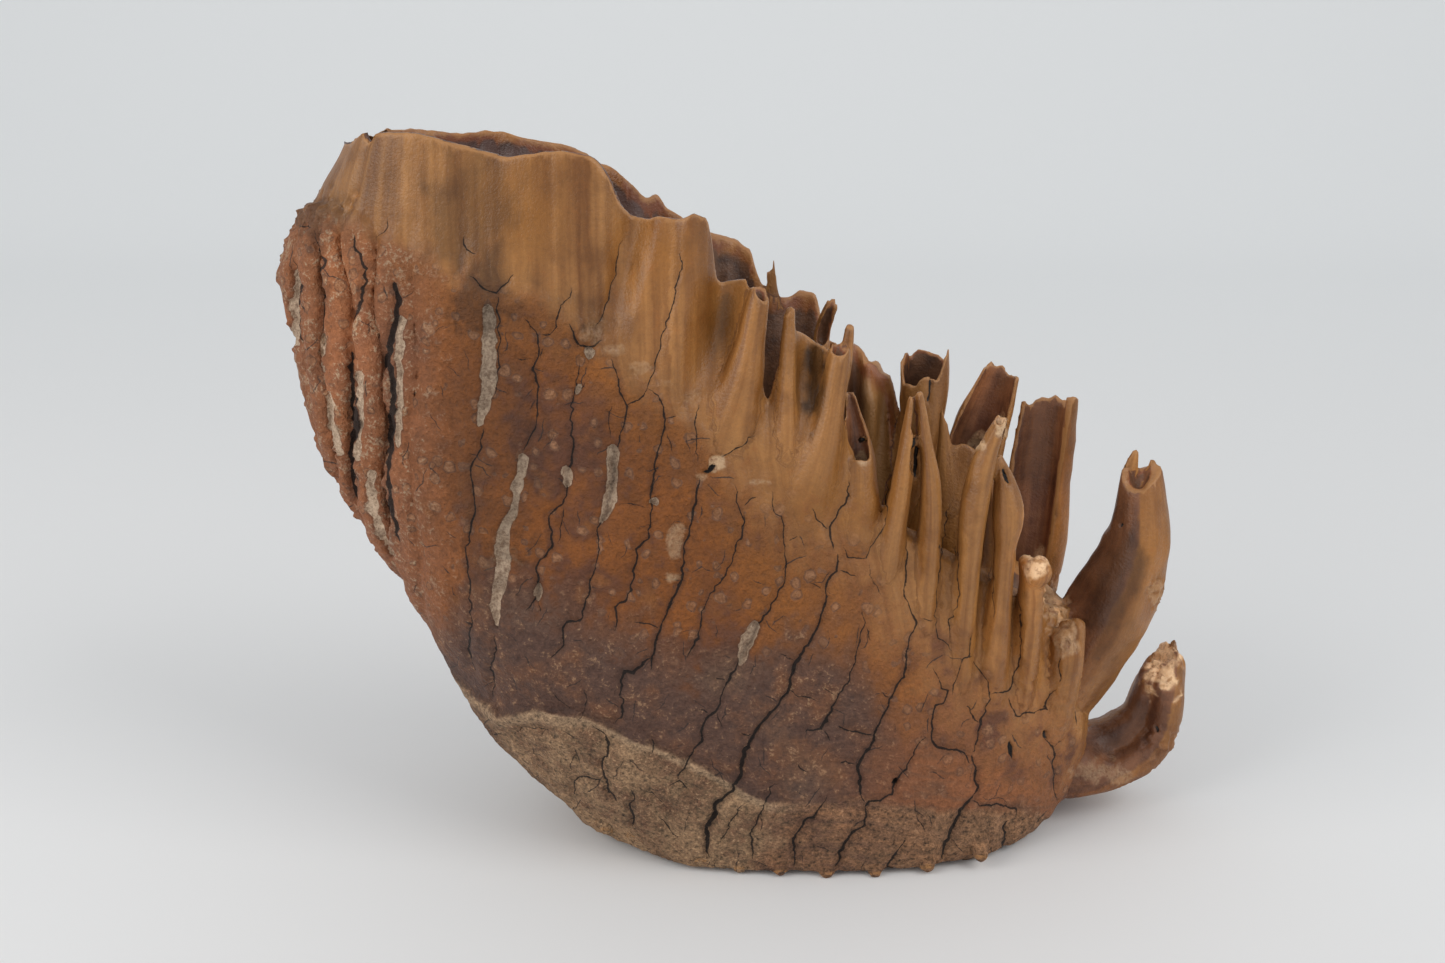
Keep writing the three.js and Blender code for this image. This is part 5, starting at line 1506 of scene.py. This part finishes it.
backdrop = bpy.data.materials.new("backdrop")
backdrop.use_nodes = True
wall_paint = Recipe(backdrop.node_tree)
distance_back = wall_paint.add("ShaderNodeSeparateXYZ", 1, {"Vector": wall_paint.place})
# painted light: the backdrop is painted brighter towards the back and up its bend, for the light that reaches it there
backdrop_and_light = wall_paint.mix(rgb(232, 232, 232), rgb(244, 245, 245), wall_paint.step(distance_back, 0.2, 1.1))
wall_paint.put(backdrop.node_tree.nodes["Principled BSDF"].inputs["Base Color"], backdrop_and_light)
backdrop.node_tree.nodes["Principled BSDF"].inputs["Roughness"].default_value = 0.9
floor_mesh.materials.append(backdrop)
print("floor:", len(floor_points), "points")

# %% [markdown]
# Large lamps close by give soft shadows, and the sky fills them. The lens follows from the frame: the sensor's
# width times the focal length in pixels over the frame's width in pixels.

# %% Lights and lens
LIGHT_SIZE = 0.8  # metres
LIGHT_POWER = 6.6  # watts
SKY_STRENGTH = 0.715


def add_light(name, place, aim, tint):
    """A square soft light at a place, turned to its aim."""
    lamp = bpy.data.lights.new(name, "AREA")
    lamp.size, lamp.energy, lamp.color = LIGHT_SIZE, LIGHT_POWER, tint
    thing = bpy.data.objects.new(name, lamp)
    thing.location = place
    thing.rotation_euler = (Vector(aim) - Vector(place)).to_track_quat("-Z", "Y").to_euler()
    bpy.context.scene.collection.objects.link(thing)


add_light("key", (0.95, -0.6, 1.05), (0, 0, 0.09), (1, 0.99, 0.97))
add_light("fill", (-1.0, -0.6, 0.75), (0, 0, 0.1), (1, 0.98, 0.95))
world = bpy.data.worlds.new("sky")
world.use_nodes = True
world.node_tree.nodes["Background"].inputs["Color"].default_value = rgb(228, 231, 234)
world.node_tree.nodes["Background"].inputs["Strength"].default_value = SKY_STRENGTH
bpy.context.scene.world = world

lens = bpy.data.cameras.new("camera")
lens.sensor_width = 36
lens.lens = FOCAL / FRAME_SIZE[0] * lens.sensor_width
camera = bpy.data.objects.new("camera", lens)
camera.location = Vector((CAMERA_PLACE + [SHIFT_X, 0, 0]) * MM)
camera.rotation_euler = (math.pi / 2 - TILT, 0, 0)
bpy.context.scene.collection.objects.link(camera)
bpy.context.scene.camera = camera
bpy.context.scene.view_settings.view_transform = "Standard"
print("lens:", round(lens.lens, 2), "mm")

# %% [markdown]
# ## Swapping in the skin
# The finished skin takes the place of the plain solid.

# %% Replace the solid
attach(tooth, "root")
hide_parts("tooth")
